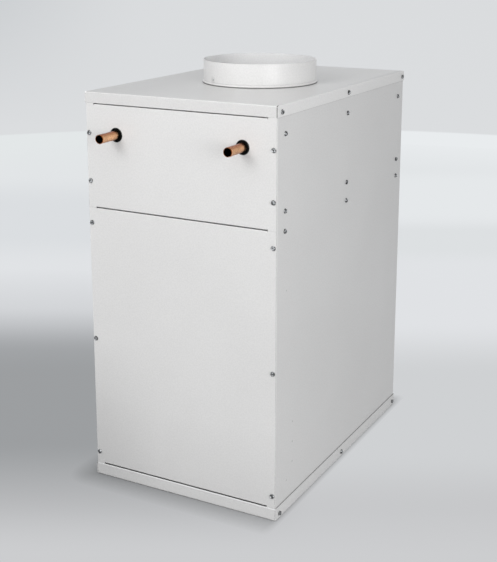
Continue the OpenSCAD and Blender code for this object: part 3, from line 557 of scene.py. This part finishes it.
def drawn_can():
    base = grey(202)
    finish = Finish("drawn_can", base, 0.3, 1)
    drawn = finish.noise(300, 2, (1, 1, 0.04))
    finish.colour(finish.mix(drawn, scaled(base, 0.86), base))
    finish.roughness(drawn, 0.24, 0.4)
    return finish.bump(drawn, 0.00002, 0.5).material


# Which finish each material slot of the record takes
FINISH_OF_SLOT = {
    "painted_steel": powder_coat,
    "collar_steel": powder_coat,
    "zinc_screw": zinc,
    "foil_liner": foil,
    "black_rubber": rubber,
    "copper": drawn_copper,
    "brass": turned_brass,
    "fin_aluminium": mill_aluminium,
    "galvanised_steel": galvanised,
    "wheel_steel": wheel_zinc,
    "shaft_steel": ground_steel,
    "motor_shell": motor_paint,
    "circuit_board": board,
    "transformer_iron": laminations,
    "relay_plastic": pale_plastic,
    "capacitor_can": drawn_can,
    "terminal_plastic": dark_plastic,
    "plug_plastic": pale_plastic,
}


def finish_of(slot):
    """The material for a slot of the record, made on first use."""
    maker = FINISH_OF_SLOT[slot]
    if maker.__name__ not in bpy.data.materials:
        maker()
    return bpy.data.materials[maker.__name__]


# Meshes


def islands(node):
    """Boxes of a CAD node's separate solids, in a fixed order."""
    bm = bmesh.new()
    bm.from_mesh(frame["nodes"][node].data)
    bmesh.ops.remove_doubles(bm, verts=bm.verts, dist=1e-6)
    left = set(bm.verts)
    boxes = []
    while left:
        group = [left.pop()]
        for vert in group:
            for edge in vert.link_edges:
                other = edge.other_vert(vert)
                if other in left:
                    left.remove(other)
                    group.append(other)
        low = [min(vert.co[axis] for vert in group) for axis in range(3)]
        high = [max(vert.co[axis] for vert in group) for axis in range(3)]
        boxes.append((Vector(low), Vector(high)))
    bm.free()
    return sorted(boxes, key=lambda box: [round(value, 4) for value in box[0]])


def facing(origin, direction, turn=0.0):
    """Matrix that puts local Z along direction at origin, turned about it."""
    turned = Vector(direction).to_track_quat("Z", "Y").to_matrix().to_4x4()
    return Matrix.Translation(origin) @ turned @ Matrix.Rotation(turn, 4, "Z")


def revolve(bm, outline, segments, closed=False):
    """Full spin about Z of an outline of (radius, height), open or closed."""
    verts = [bm.verts.new((radius, 0, height)) for radius, height in outline]
    pairs = list(zip(verts, verts[1:] + verts[:1] if closed else verts[1:]))
    edges = [bm.edges.new(pair) for pair in pairs]
    before = set(bm.verts) - set(verts)
    bmesh.ops.spin(bm, geom=verts + edges, cent=(0, 0, 0), axis=(0, 0, 1),
                   angle=math.tau, steps=segments, use_merge=True)
    fresh = [vert for vert in bm.verts if vert not in before]
    bmesh.ops.remove_doubles(bm, verts=fresh, dist=1e-7)


def arc(centre, radius, start, end, steps):
    """Points of an arc as (radius, height), angles in degrees."""
    for index in range(steps + 1):
        angle = math.radians(start + (end - start) * index / steps)
        yield (centre[0] + radius * math.cos(angle), centre[1] + radius * math.sin(angle))


def made(bm, name):
    bmesh.ops.recalc_face_normals(bm, faces=bm.faces)
    mesh = bpy.data.meshes.new(name)
    bm.to_mesh(mesh)
    bm.free()
    return mesh


def placed(name, shape, places):
    """One mesh with a copy of a shape at each matrix."""
    bm = bmesh.new()
    for place in places:
        count = len(bm.verts)
        bm.from_mesh(shape)
        bm.verts.ensure_lookup_table()
        bmesh.ops.transform(bm, matrix=place, verts=bm.verts[count:])
    return made(bm, name)


def add_piece(mesh, body, slot, nodes=()):
    """Puts a mesh in the scene, riding on a body, with its slot's finish."""
    crease = math.radians(30)
    mesh.shade_smooth()
    mesh.set_sharp_from_angle(angle=crease)
    piece = bpy.data.objects.new(mesh.name, mesh)
    bpy.context.scene.collection.objects.link(piece)
    mesh.materials.append(finish_of(slot))
    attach(piece, body)
    if nodes:
        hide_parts(*nodes)
    return piece


def cut_with(mesh, box_size, centre):
    """The mesh with a box cut out of it."""
    target = bpy.data.objects.new("cut_target", mesh)
    bm = bmesh.new()
    bmesh.ops.create_cube(bm, size=1)
    bmesh.ops.scale(bm, vec=box_size, verts=bm.verts)
    bmesh.ops.translate(bm, vec=centre, verts=bm.verts)
    cutter = bpy.data.objects.new("cutter", made(bm, "cutter"))
    for item in (target, cutter):
        bpy.context.scene.collection.objects.link(item)
    cut = target.modifiers.new("cut", "BOOLEAN")
    cut.operation = "DIFFERENCE"
    cut.object = cutter
    graph = bpy.context.evaluated_depsgraph_get()
    result = bpy.data.meshes.new_from_object(target.evaluated_get(graph))
    for item in (target, cutter):
        data = item.data
        bpy.data.objects.remove(item)
        bpy.data.meshes.remove(data)
    return result


def join_rings(bm, rings):
    """Faces between each ring of vertices and the next, all of one count."""
    for first, second in zip(rings, rings[1:]):
        for i in range(len(first)):
            j = (i + 1) % len(first)
            bm.faces.new((first[i], first[j], second[j], second[i]))


def hex_outline(bm, across, height):
    """Six vertices of a hexagon, by its width across flats."""
    radius = across / math.sqrt(3)
    angles = [math.tau * i / 6 for i in range(6)]
    return [bm.verts.new((radius * math.cos(angle), radius * math.sin(angle), height))
            for angle in angles]


def screw_head():
    """Hex washer head with a dished top and a slot, seated at height 0."""
    values = look()
    across, head, washer = values.screw_across, values.screw_head, values.screw_washer / 2
    bm = bmesh.new()
    revolve(bm, [(0, 0), (washer - 0.25 * MM, 0), (washer, 0.25 * MM), (washer, 0.55 * MM),
                 (washer - 0.2 * MM, 0.8 * MM), (across * 0.54, 0.95 * MM), (0, 0.95 * MM)], 32)
    foot = hex_outline(bm, across, 0.6 * MM)
    shoulder = hex_outline(bm, across, head - 0.45 * MM)
    top = hex_outline(bm, across * 0.86, head)
    bm.faces.new(foot)
    join_rings(bm, (foot, shoulder, top))
    lip = [bm.verts.new(Vector(vert.co) * 0.82 + Vector((0, 0, 0.18 * head))) for vert in top]
    dish = [bm.verts.new((vert.co.x * 0.72, vert.co.y * 0.72, head - 0.35 * MM)) for vert in top]
    join_rings(bm, (top, lip, dish))
    bm.faces.new(dish)
    slot_size = (3 * across, 1.0 * MM, 2 * MM)
    return cut_with(made(bm, "screw_head"), slot_size, (0, 0, head + 0.1 * MM))


def add_shank(bm):
    """Threaded shank with a point, from height 0 down."""
    length, core, point = look().screw_shank, 1.6 * MM, 2.4 * MM
    revolve(bm, [(0, 0.1 * MM), (core, 0.1 * MM), (core, point - length),
                 (0.3 * MM, 0.3 * MM - length), (0, -length)], 16)
    start, pitch, root, crest = -0.6 * MM, 1.4 * MM, core - 0.1 * MM, 2.08 * MM
    turns = int((length - point) / pitch)
    steps = 14 * turns
    ridge = [bm.verts.new((root, 0, start + 0.4 * MM)),
             bm.verts.new((root, 0, start - 0.4 * MM)),
             bm.verts.new((crest, 0, start))]
    face = bm.faces.new(ridge)
    bmesh.ops.spin(bm, geom=[face] + list(face.edges) + ridge, cent=(0, 0, 0), axis=(0, 0, 1),
                   angle=math.tau * turns, steps=steps, dvec=(0, 0, -pitch * turns / steps))


def screw_shape():
    """Slotted hex washer head over a threaded shank, seated at height 0."""
    head = screw_head()
    bm = bmesh.new()
    bm.from_mesh(head)
    bpy.data.meshes.remove(head)
    add_shank(bm)
    return made(bm, "screw")


def screw_places(node, rng):
    """A matrix for each screw of a CAD node, its head where the node has it."""
    face = Vector(SCREW_FACES[node])
    for low, high in islands(node):
        middle = (low + high) / 2
        out = face if face.length else Vector((math.copysign(1, middle.x), 0, 0))
        seat = middle.copy()
        for axis in range(3):
            if out[axis]:
                tip = high[axis] if out[axis] > 0 else low[axis]
                seat[axis] = tip - out[axis] * look().screw_head
        yield facing(seat, out, rng.uniform(0, math.tau))


def grommet_shape():
    """Rounded ring with a groove for the panel, about Z, centred on the sheet."""
    values = look()
    bore = values.stub_size / 2 + 0.06 * MM
    neck = values.stub_size / 2 + 2 * MM
    flange = values.stub_size / 2 + 5.4 * MM
    half = values.sheet / 2
    lip = 1 * MM
    soft = lip * 0.45
    outline = [(bore, -half - lip + soft), (bore, half + lip - soft)]
    outline += arc((bore + soft, half + lip - soft), soft, 180, 90, 4)
    outline += arc((flange - soft, half + lip - soft), soft, 90, 0, 5)
    outline += [(flange, half), (neck, half), (neck, -half), (flange, -half)]
    outline += arc((flange - soft, -half - lip + soft), soft, 0, -90, 5)
    outline += arc((bore + soft, -half - lip + soft), soft, -90, -150, 3)
    bm = bmesh.new()
    revolve(bm, outline, 64, closed=True)
    return made(bm, "grommet")


def plug_shape():
    """Snap-in plug with a softly crowned cap and a barbed skirt, about Z."""
    cap, skirt, wall, web = 12.95 * MM, 10.9 * MM, 1.4 * MM, 0.3 * MM
    high, round_r = 1.5 * MM, 0.8 * MM
    neck, barb, end = -2.6 * MM, -3.1 * MM, -3.9 * MM
    bm = bmesh.new()
    outline = [(0, high), (cap - 3 * MM, high - 0.05 * MM)]
    outline += arc((cap - round_r, high - 0.1 * MM - round_r), round_r, 90, 0, 5)
    outline += [(cap, 0), (skirt, 0), (skirt, neck), (skirt + 0.15 * MM, barb),
                (skirt - 0.6 * MM, end), (skirt - wall, end), (skirt - wall, -web), (0, -web)]
    revolve(bm, outline, 48)
    return made(bm, "plug")


# Studio


def stage_object(name, mesh, material):
    """Puts a mesh in the scene as part of the studio, not of the object."""
    item = bpy.data.objects.new(name, mesh)
    mesh.shade_smooth()
    mesh.materials.append(material)
    bpy.context.scene.collection.objects.link(item)
    return item


def seen(finish):
    """1 for camera, glossy and transmission rays, else 0."""
    path = finish.add("ShaderNodeLightPath")
    total = path.outputs["Is Camera Ray"]
    for name in ("Is Glossy Ray", "Is Transmission Ray"):
        most = finish.add("ShaderNodeMath", operation="MAXIMUM")
        finish.link(total, most.inputs[0])
        finish.link(path.outputs[name], most.inputs[1])
        total = most.outputs[0]
    return total


def gleam(finish, tone):
    """Emission of a colour socket."""
    glow = finish.add("ShaderNodeEmission")
    finish.link(tone, glow.inputs["Color"])
    return glow.outputs[0]


def blend_shaders(finish, factor, first, second):
    """Shows the first shader where the factor is 0 and the second where it is 1."""
    node = finish.add("ShaderNodeMixShader")
    finish.link(factor, node.inputs[0])
    finish.link(first, node.inputs[1])
    finish.link(second, node.inputs[2])
    finish.link(node.outputs[0], finish.out.inputs[0])


def studio_axes(finish):
    """Distance across the picture and distance into it, from the middle of the floor."""
    turned = finish.add("ShaderNodeMapping")
    turned.inputs["Rotation"].default_value = (0, 0, -VIEW_YAW)
    finish.link(finish.place, turned.inputs["Vector"])
    parts = finish.add("ShaderNodeSeparateXYZ")
    finish.link(turned.outputs[0], parts.inputs[0])
    return parts.outputs["X"], parts.outputs["Y"]


def far_glow(finish, across):
    """Painted light where the floor meets the backdrop, brighter on the right."""
    return finish.mix(finish.spread(across, -0.9, 0.9, soft=True), linear(227, 231, 232),
                      linear(233, 236, 238))


def floor_pool(finish, across, into):
    """Painted shadow: 1 in the pool of darker floor left of the object, 0 past its soft edges."""
    beyond = finish.product(finish.spread(into, 1.42, 0.85, 1, 0.64),
                            finish.spread(into, 1.0, 0.58, 1, 0, soft=True))
    return finish.product(finish.spread(into, -0.5, 0.0, soft=True),
                          finish.falling(beyond, 0),
                          finish.spread(across, 0.14, -0.02, soft=True),
                          finish.spread(across, -2.4, -1.4, soft=True))


def floor_glow(finish, across, into, far):
    """Painted light: the tone that the floor glows with in the picture, paler from the front to
    the backdrop.
    """
    in_front = finish.spread(into, -0.34, -0.5)
    beside = finish.spread(into, -0.32, -0.06, soft=True)
    behind = finish.spread(into, 0.4, 0.85, soft=True)
    away = finish.vector("LENGTH", finish.place)
    foot = far - 0.9
    tone = finish.mix(in_front, linear(199, 200, 202), linear(204, 205, 207))
    tone = finish.mix(beside, tone, linear(207, 209, 211))
    tone = finish.mix(behind, tone, linear(224, 226, 229))
    tone = finish.mix(finish.spread(away, 1.2, foot), tone, linear(226, 229, 231))
    left = finish.spread(across, 0.2, -0.5, soft=True)
    right = finish.spread(across, -0.1, 0.5, soft=True)
    # Bands of painted light: each band's side, where it begins, is full, starts to fade and ends,
    # and its tone
    for side, begins, full, leaves, ends, level in (
            (left, 1.45, 1.9, 2.4, 3.1, linear(219, 222, 225)),
            (right, 1.45, 1.7, 1.95, 2.2, linear(221, 224, 226)),
            (right, 1.95, 2.3, 2.9, 3.3, linear(229, 232, 234))):
        band = finish.product(side, finish.spread(into, begins, full, soft=True),
                              finish.spread(into, ends, leaves, soft=True))
        tone = finish.mix(band, tone, level)
    return finish.mix(finish.spread(away, foot, far), tone, far_glow(finish, across))


def floor_finish(far):
    """Pale matt floor with a painted shadow pool left of the object; in the picture it glows with
    painted light, and round the object's foot it shows the lamps' shadow.
    """
    base = look().floor_colour
    finish = Finish("studio_floor", base, 0.85)
    across, into = studio_axes(finish)
    # Painted shadow of the pool, on the lit and on the glowing floor
    shade = finish.mix(floor_pool(finish, across, into), (1, 1, 1), (0.535, 0.54, 0.545))
    grain = finish.spread(finish.noise(60, 4), 0.3, 0.7, 0.985, 1.0)
    ground = finish.mix(finish.noise(3, 2), base, scaled(base, 0.99))
    finish.colour(finish.times(finish.times(ground, grain), shade))
    # Painted light that the floor glows with for camera, glossy and transmission rays
    glow = gleam(finish, finish.times(floor_glow(finish, across, into, far), shade))
    low, high = corners("base_tray")
    shadow = finish.product(finish.spread(finish.outside(low, high), 60 * MM, -12 * MM),
                            finish.along("X", high.x + 12 * MM, high.x - 8 * MM))
    lit = finish.product(finish.falling(shadow, 0), seen(finish))
    blend_shaders(finish, lit, finish.shader.outputs[0], glow)
    return finish.material


def wall_finish():
    """Pale backdrop that glows for camera, glossy and transmission rays, with painted shade to
    the upper left and painted light brightest at its foot.
    """
    finish = Finish("studio_wall", linear(220, 222, 224), 0.9)
    across, _ = studio_axes(finish)
    tone = finish.mix(finish.spread(across, -1.9, -0.5, soft=True), linear(200, 203, 206),
                      linear(218, 220, 222))
    tone = finish.mix(finish.along("Z", 0.9, 0.1), tone, linear(219, 221, 223))
    tone = finish.mix(finish.along("Z", 0.065, 0.057), tone, far_glow(finish, across))
    finish.colour(tone)
    blend_shaders(finish, seen(finish), finish.shader.outputs[0], gleam(finish, tone))
    return finish.material


def area_light(name, power, size, place, target):
    """Square light at a place, turned to a target."""
    data = bpy.data.lights.new(name, "AREA")
    data.energy = power
    data.size = size
    light = bpy.data.objects.new(name, data)
    light.location = place
    light.rotation_euler = (Vector(target) - Vector(place)).to_track_quat("-Z", "Y").to_euler()
    bpy.context.scene.collection.objects.link(light)
    return light


# Operators


class AIRHANDLER_PG_look(bpy.types.PropertyGroup):
    """Sizes and colours of the dressing."""

    coat_colour: bpy.props.FloatVectorProperty(
        name="Coat colour", description="Powder coat on the cabinet and the collar",
        default=(0.795, 0.79, 0.783), subtype="COLOR", size=3, min=0, max=1)
    screw_colour: bpy.props.FloatVectorProperty(
        name="Screw colour", description="Zinc plate on the screws",
        default=(0.33, 0.335, 0.34), subtype="COLOR", size=3, min=0, max=1)
    copper_colour: bpy.props.FloatVectorProperty(
        name="Copper colour", description="Drawn copper of the stubs and tubes",
        default=(0.88, 0.5, 0.28), subtype="COLOR", size=3, min=0, max=1)
    screw_across: bpy.props.FloatProperty(
        name="Screw across flats", description="Width of the hex head",
        default=7.9 * MM, min=0, unit="LENGTH")
    screw_washer: bpy.props.FloatProperty(
        name="Screw washer", description="Diameter of the washer under the head",
        default=10 * MM, min=0, unit="LENGTH")
    screw_head: bpy.props.FloatProperty(
        name="Screw head", description="Height of the head over the sheet",
        default=3.3 * MM, min=0, unit="LENGTH")
    screw_shank: bpy.props.FloatProperty(
        name="Screw shank", description="Length of the shank under the sheet",
        default=9 * MM, min=0, unit="LENGTH")
    screw_seed: bpy.props.IntProperty(
        name="Screw turns", description="Seed for the angle at which each screw stopped",
        default=7, min=0)
    stub_size: bpy.props.FloatProperty(
        name="Stub size", description="Outside diameter of the copper stubs",
        default=19.05 * MM, min=0, unit="LENGTH")
    sheet: bpy.props.FloatProperty(
        name="Sheet", description="Thickness of the cabinet's sheet",
        default=1.2 * MM, min=0, unit="LENGTH")
    fin_number: bpy.props.IntProperty(
        name="Fins", description="Number of fins on the coil", default=210, min=10, max=400)
    fin_thickness: bpy.props.FloatProperty(
        name="Fin thickness", description="Thickness of one fin",
        default=0.14 * MM, min=0, unit="LENGTH")
    key_power: bpy.props.FloatProperty(
        name="Key light", description="Power of the soft light in front, to the left",
        default=17.2, min=0, unit="POWER")
    fill_power: bpy.props.FloatProperty(
        name="Fill light", description="Power of the soft light on the right",
        default=24.5, min=0, unit="POWER")
    high_power: bpy.props.FloatProperty(
        name="High light", description="Power of the soft light above on the right",
        default=6.5, min=0, unit="POWER")
    rear_power: bpy.props.FloatProperty(
        name="Rear light", description="Power of the low soft light behind, on the left",
        default=23, min=0, unit="POWER")
    sky: bpy.props.FloatProperty(
        name="Sky", description="Strength of the even pale light", default=0.555, min=0)
    floor_colour: bpy.props.FloatVectorProperty(
        name="Floor colour", description="Studio floor", default=(0.38, 0.385, 0.39),
        subtype="COLOR", size=3, min=0, max=1)
    wall_distance: bpy.props.FloatProperty(
        name="Wall distance", description="From the object to the round backdrop",
        default=4.25, min=1, unit="LENGTH")


class AIRHANDLER_OT_camera(bpy.types.Operator):
    """Places the camera of the photograph"""
    bl_idname = "air_handler.camera"
    bl_label = "Camera"

    def execute(self, context):
        flat = math.cos(VIEW_PITCH)
        forward = Vector((-math.sin(VIEW_YAW) * flat, math.cos(VIEW_YAW) * flat,
                          -math.sin(VIEW_PITCH)))
        data = bpy.data.cameras.new("camera")
        data.lens = VIEW_LENS
        data.sensor_width = 36
        data.shift_y = VIEW_SHIFT
        camera = bpy.data.objects.new("camera", data)
        context.scene.collection.objects.link(camera)
        camera.location = VIEW_PLACE
        camera.rotation_euler = forward.to_track_quat("-Z", "Y").to_euler()
        context.scene.camera = camera
        context.scene.view_settings.view_transform = "Standard"
        return {"FINISHED"}


class AIRHANDLER_OT_stage(bpy.types.Operator):
    """Makes the floor, the round backdrop and the lights"""
    bl_idname = "air_handler.stage"
    bl_label = "Stage"

    def execute(self, context):
        values = look()
        bend, high = 0.15, 4.5
        far = values.wall_distance
        bm = bmesh.new()
        revolve(bm, [(0, 0), (0.5, 0), (1.5, 0), (far - bend, 0)], 128)
        floor = stage_object("studio_floor", made(bm, "studio_floor"), floor_finish(far))
        bm = bmesh.new()
        outline = list(arc((far - bend, bend), bend, -90, 0, 8))
        revolve(bm, outline + [(far, 1), (far, high)], 128)
        wall = stage_object("studio_wall", made(bm, "studio_wall"), wall_finish())
        for item in (floor, wall):
            item.location.z = -0.2 * MM
        wall.visible_diffuse = False
        wall.visible_shadow = False
        area_light("key", values.key_power, 0.9, (-0.45, -2.1, 1.7), (0, -0.3, 0.7))
        area_light("fill", values.fill_power, 1.2, (2.3, -1.7, 1.1), (0.2, -0.1, 0.5))
        area_light("high", values.high_power, 1.8, (0.9, -2.3, 2.5), (0, -0.3, 0.6))
        rear = area_light("rear", values.rear_power, 0.6, (-1.7, 2.2, 0.32), (-0.1, 0.2, 0.4))
        rear.visible_glossy = False
        world = context.scene.world or bpy.data.worlds.new("world")
        context.scene.world = world
        world.use_nodes = True
        light = world.node_tree.nodes["Background"]
        light.inputs["Color"].default_value = (0.985, 0.99, 1, 1)
        light.inputs["Strength"].default_value = values.sky
        return {"FINISHED"}


class AIRHANDLER_OT_finishes(bpy.types.Operator):
    """Gives every CAD node the finish of its slot in the record"""
    bl_idname = "air_handler.finishes"
    bl_label = "Finishes"

    def execute(self, context):
        slots = {part["node"]: part["material_slot"] for part in frame["record"]["subparts"]}
        for name, node in frame["nodes"].items():
            finish = finish_of(slots[name])
            if not node.material_slots:
                node.data.materials.append(finish)
            for slot in node.material_slots:
                slot.material = finish
        return {"FINISHED"}


class AIRHANDLER_OT_screws(bpy.types.Operator):
    """Replaces the plain screws with slotted hex washer screws"""
    bl_idname = "air_handler.screws"
    bl_label = "Screws"

    def execute(self, context):
        rng = random.Random(look().screw_seed)
        shape = screw_shape()
        for node in SCREW_FACES:
            mesh = placed(node + "_detailed", shape, screw_places(node, rng))
            add_piece(mesh, "cabinet", "zinc_screw", [node])
        return {"FINISHED"}


class AIRHANDLER_OT_grommets(bpy.types.Operator):
    """Replaces the ring round each copper stub with a rounded rubber grommet"""
    bl_idname = "air_handler.grommets"
    bl_label = "Grommets"

    def execute(self, context):
        places = [facing((low + high) / 2, (0, -1, 0)) for low, high in islands("pipe_grommets")]
        mesh = placed("soft_grommets", grommet_shape(), places)
        add_piece(mesh, "cabinet", "black_rubber", ["pipe_grommets"])
        return {"FINISHED"}


class AIRHANDLER_OT_plugs(bpy.types.Operator):
    """Replaces the hole plugs with rounded ones"""
    bl_idname = "air_handler.plugs"
    bl_label = "Hole plugs"

    def execute(self, context):
        places = []
        for low, high in islands("hole_plugs"):
            seat = (low + high) / 2
            seat.x = low.x + 1.5 * MM
            places.append(facing(seat, (-1, 0, 0)))
        mesh = placed("rounded_plugs", plug_shape(), places)
        add_piece(mesh, "cabinet", "plug_plastic", ["hole_plugs"])
        return {"FINISHED"}


class AIRHANDLER_OT_fins(bpy.types.Operator):
    """Replaces the coil's few fins with a dense pack of thin corrugated ones"""
    bl_idname = "air_handler.fins"
    bl_label = "Coil fins"

    def execute(self, context):
        values = look()
        low, high = corners("coil_fins")
        wave, columns = 0.35 * MM, 44
        bm = bmesh.new()
        room = high.y - low.y - values.fin_thickness - 2 * wave
        for index in range(values.fin_number):
            y = low.y + wave + room * index / (values.fin_number - 1)
            rows = []
            for column in range(columns + 1):
                x = low.x + (high.x - low.x) * column / columns
                bent = y + wave * (1 if column % 2 else -1)
                rows.append([bm.verts.new(point) for point in (
                    (x, bent, low.z), (x, bent, high.z),
                    (x, bent + values.fin_thickness, high.z),
                    (x, bent + values.fin_thickness, low.z))])
            join_rings(bm, rows)
            bm.faces.new(rows[0])
            bm.faces.new(rows[-1])
        add_piece(made(bm, "dense_fins"), "cabinet", "fin_aluminium", ["coil_fins"])
        return {"FINISHED"}


class AIRHANDLER_OT_collar_seam(bpy.types.Operator):
    """Adds the lapped edges that the collar's rivets close"""
    bl_idname = "air_handler.collar_seam"
    bl_label = "Collar seam"

    def execute(self, context):
        rivets = islands("collar_rivets")
        centre = sum(((low + high) / 2 for low, high in rivets), Vector()) / len(rivets)
        lap, skin, root, steps = 7 * MM, 0.32 * MM, 0.1 * MM, 6
        foot, top = centre.z - 5 * MM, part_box("supply_collar")[1][2] - 0.2 * MM
        bm = bmesh.new()
        for low, high in rivets:
            middle = (low + high) / 2 - centre
            angle = math.atan2(middle.y, middle.x)
            reach = math.hypot(middle.x, middle.y) - 0.2 * MM
            half = lap / reach
            columns = []
            for step in range(steps + 1):
                turn = angle - half + 2 * half * step / steps
                edge = skin * (0.25 if step in (0, steps) else 1)
                columns.append([bm.verts.new((centre.x + r * math.cos(turn),
                                              centre.y + r * math.sin(turn), z))
                                for r, z in ((reach - root, foot), (reach + edge, foot),
                                             (reach + edge, top), (reach - root, top))])
            join_rings(bm, columns)
            bm.faces.new(columns[0])
            bm.faces.new(columns[-1])
        add_piece(made(bm, "collar_laps"), "cabinet", "collar_steel")
        return {"FINISHED"}


class AIRHANDLER_PT_panel(bpy.types.Panel):
    """Lists the steps of the dressing"""
    bl_idname = "AIRHANDLER_PT_panel"
    bl_label = "Air handler"
    bl_space_type = "VIEW_3D"
    bl_region_type = "UI"
    bl_category = "Air handler"

    def draw(self, context):
        for name in AIRHANDLER_PG_look.__annotations__:
            self.layout.prop(context.scene.air_handler, name)
        for operator in OPERATORS:
            self.layout.operator(operator.bl_idname)


OPERATORS = (AIRHANDLER_OT_camera, AIRHANDLER_OT_stage, AIRHANDLER_OT_finishes,
             AIRHANDLER_OT_screws, AIRHANDLER_OT_grommets, AIRHANDLER_OT_plugs,
             AIRHANDLER_OT_fins, AIRHANDLER_OT_collar_seam)
CLASSES = (AIRHANDLER_PG_look, *OPERATORS, AIRHANDLER_PT_panel)


def register():
    for item in CLASSES:
        bpy.utils.register_class(item)
    bpy.types.Scene.air_handler = bpy.props.PointerProperty(type=AIRHANDLER_PG_look)


def unregister():
    del bpy.types.Scene.air_handler
    for item in reversed(CLASSES):
        bpy.utils.unregister_class(item)


def main():
    register()
    for operator in OPERATORS:
        group, name = operator.bl_idname.split(".")
        getattr(getattr(bpy.ops, group), name)()


if __name__ == "__main__":
    main()
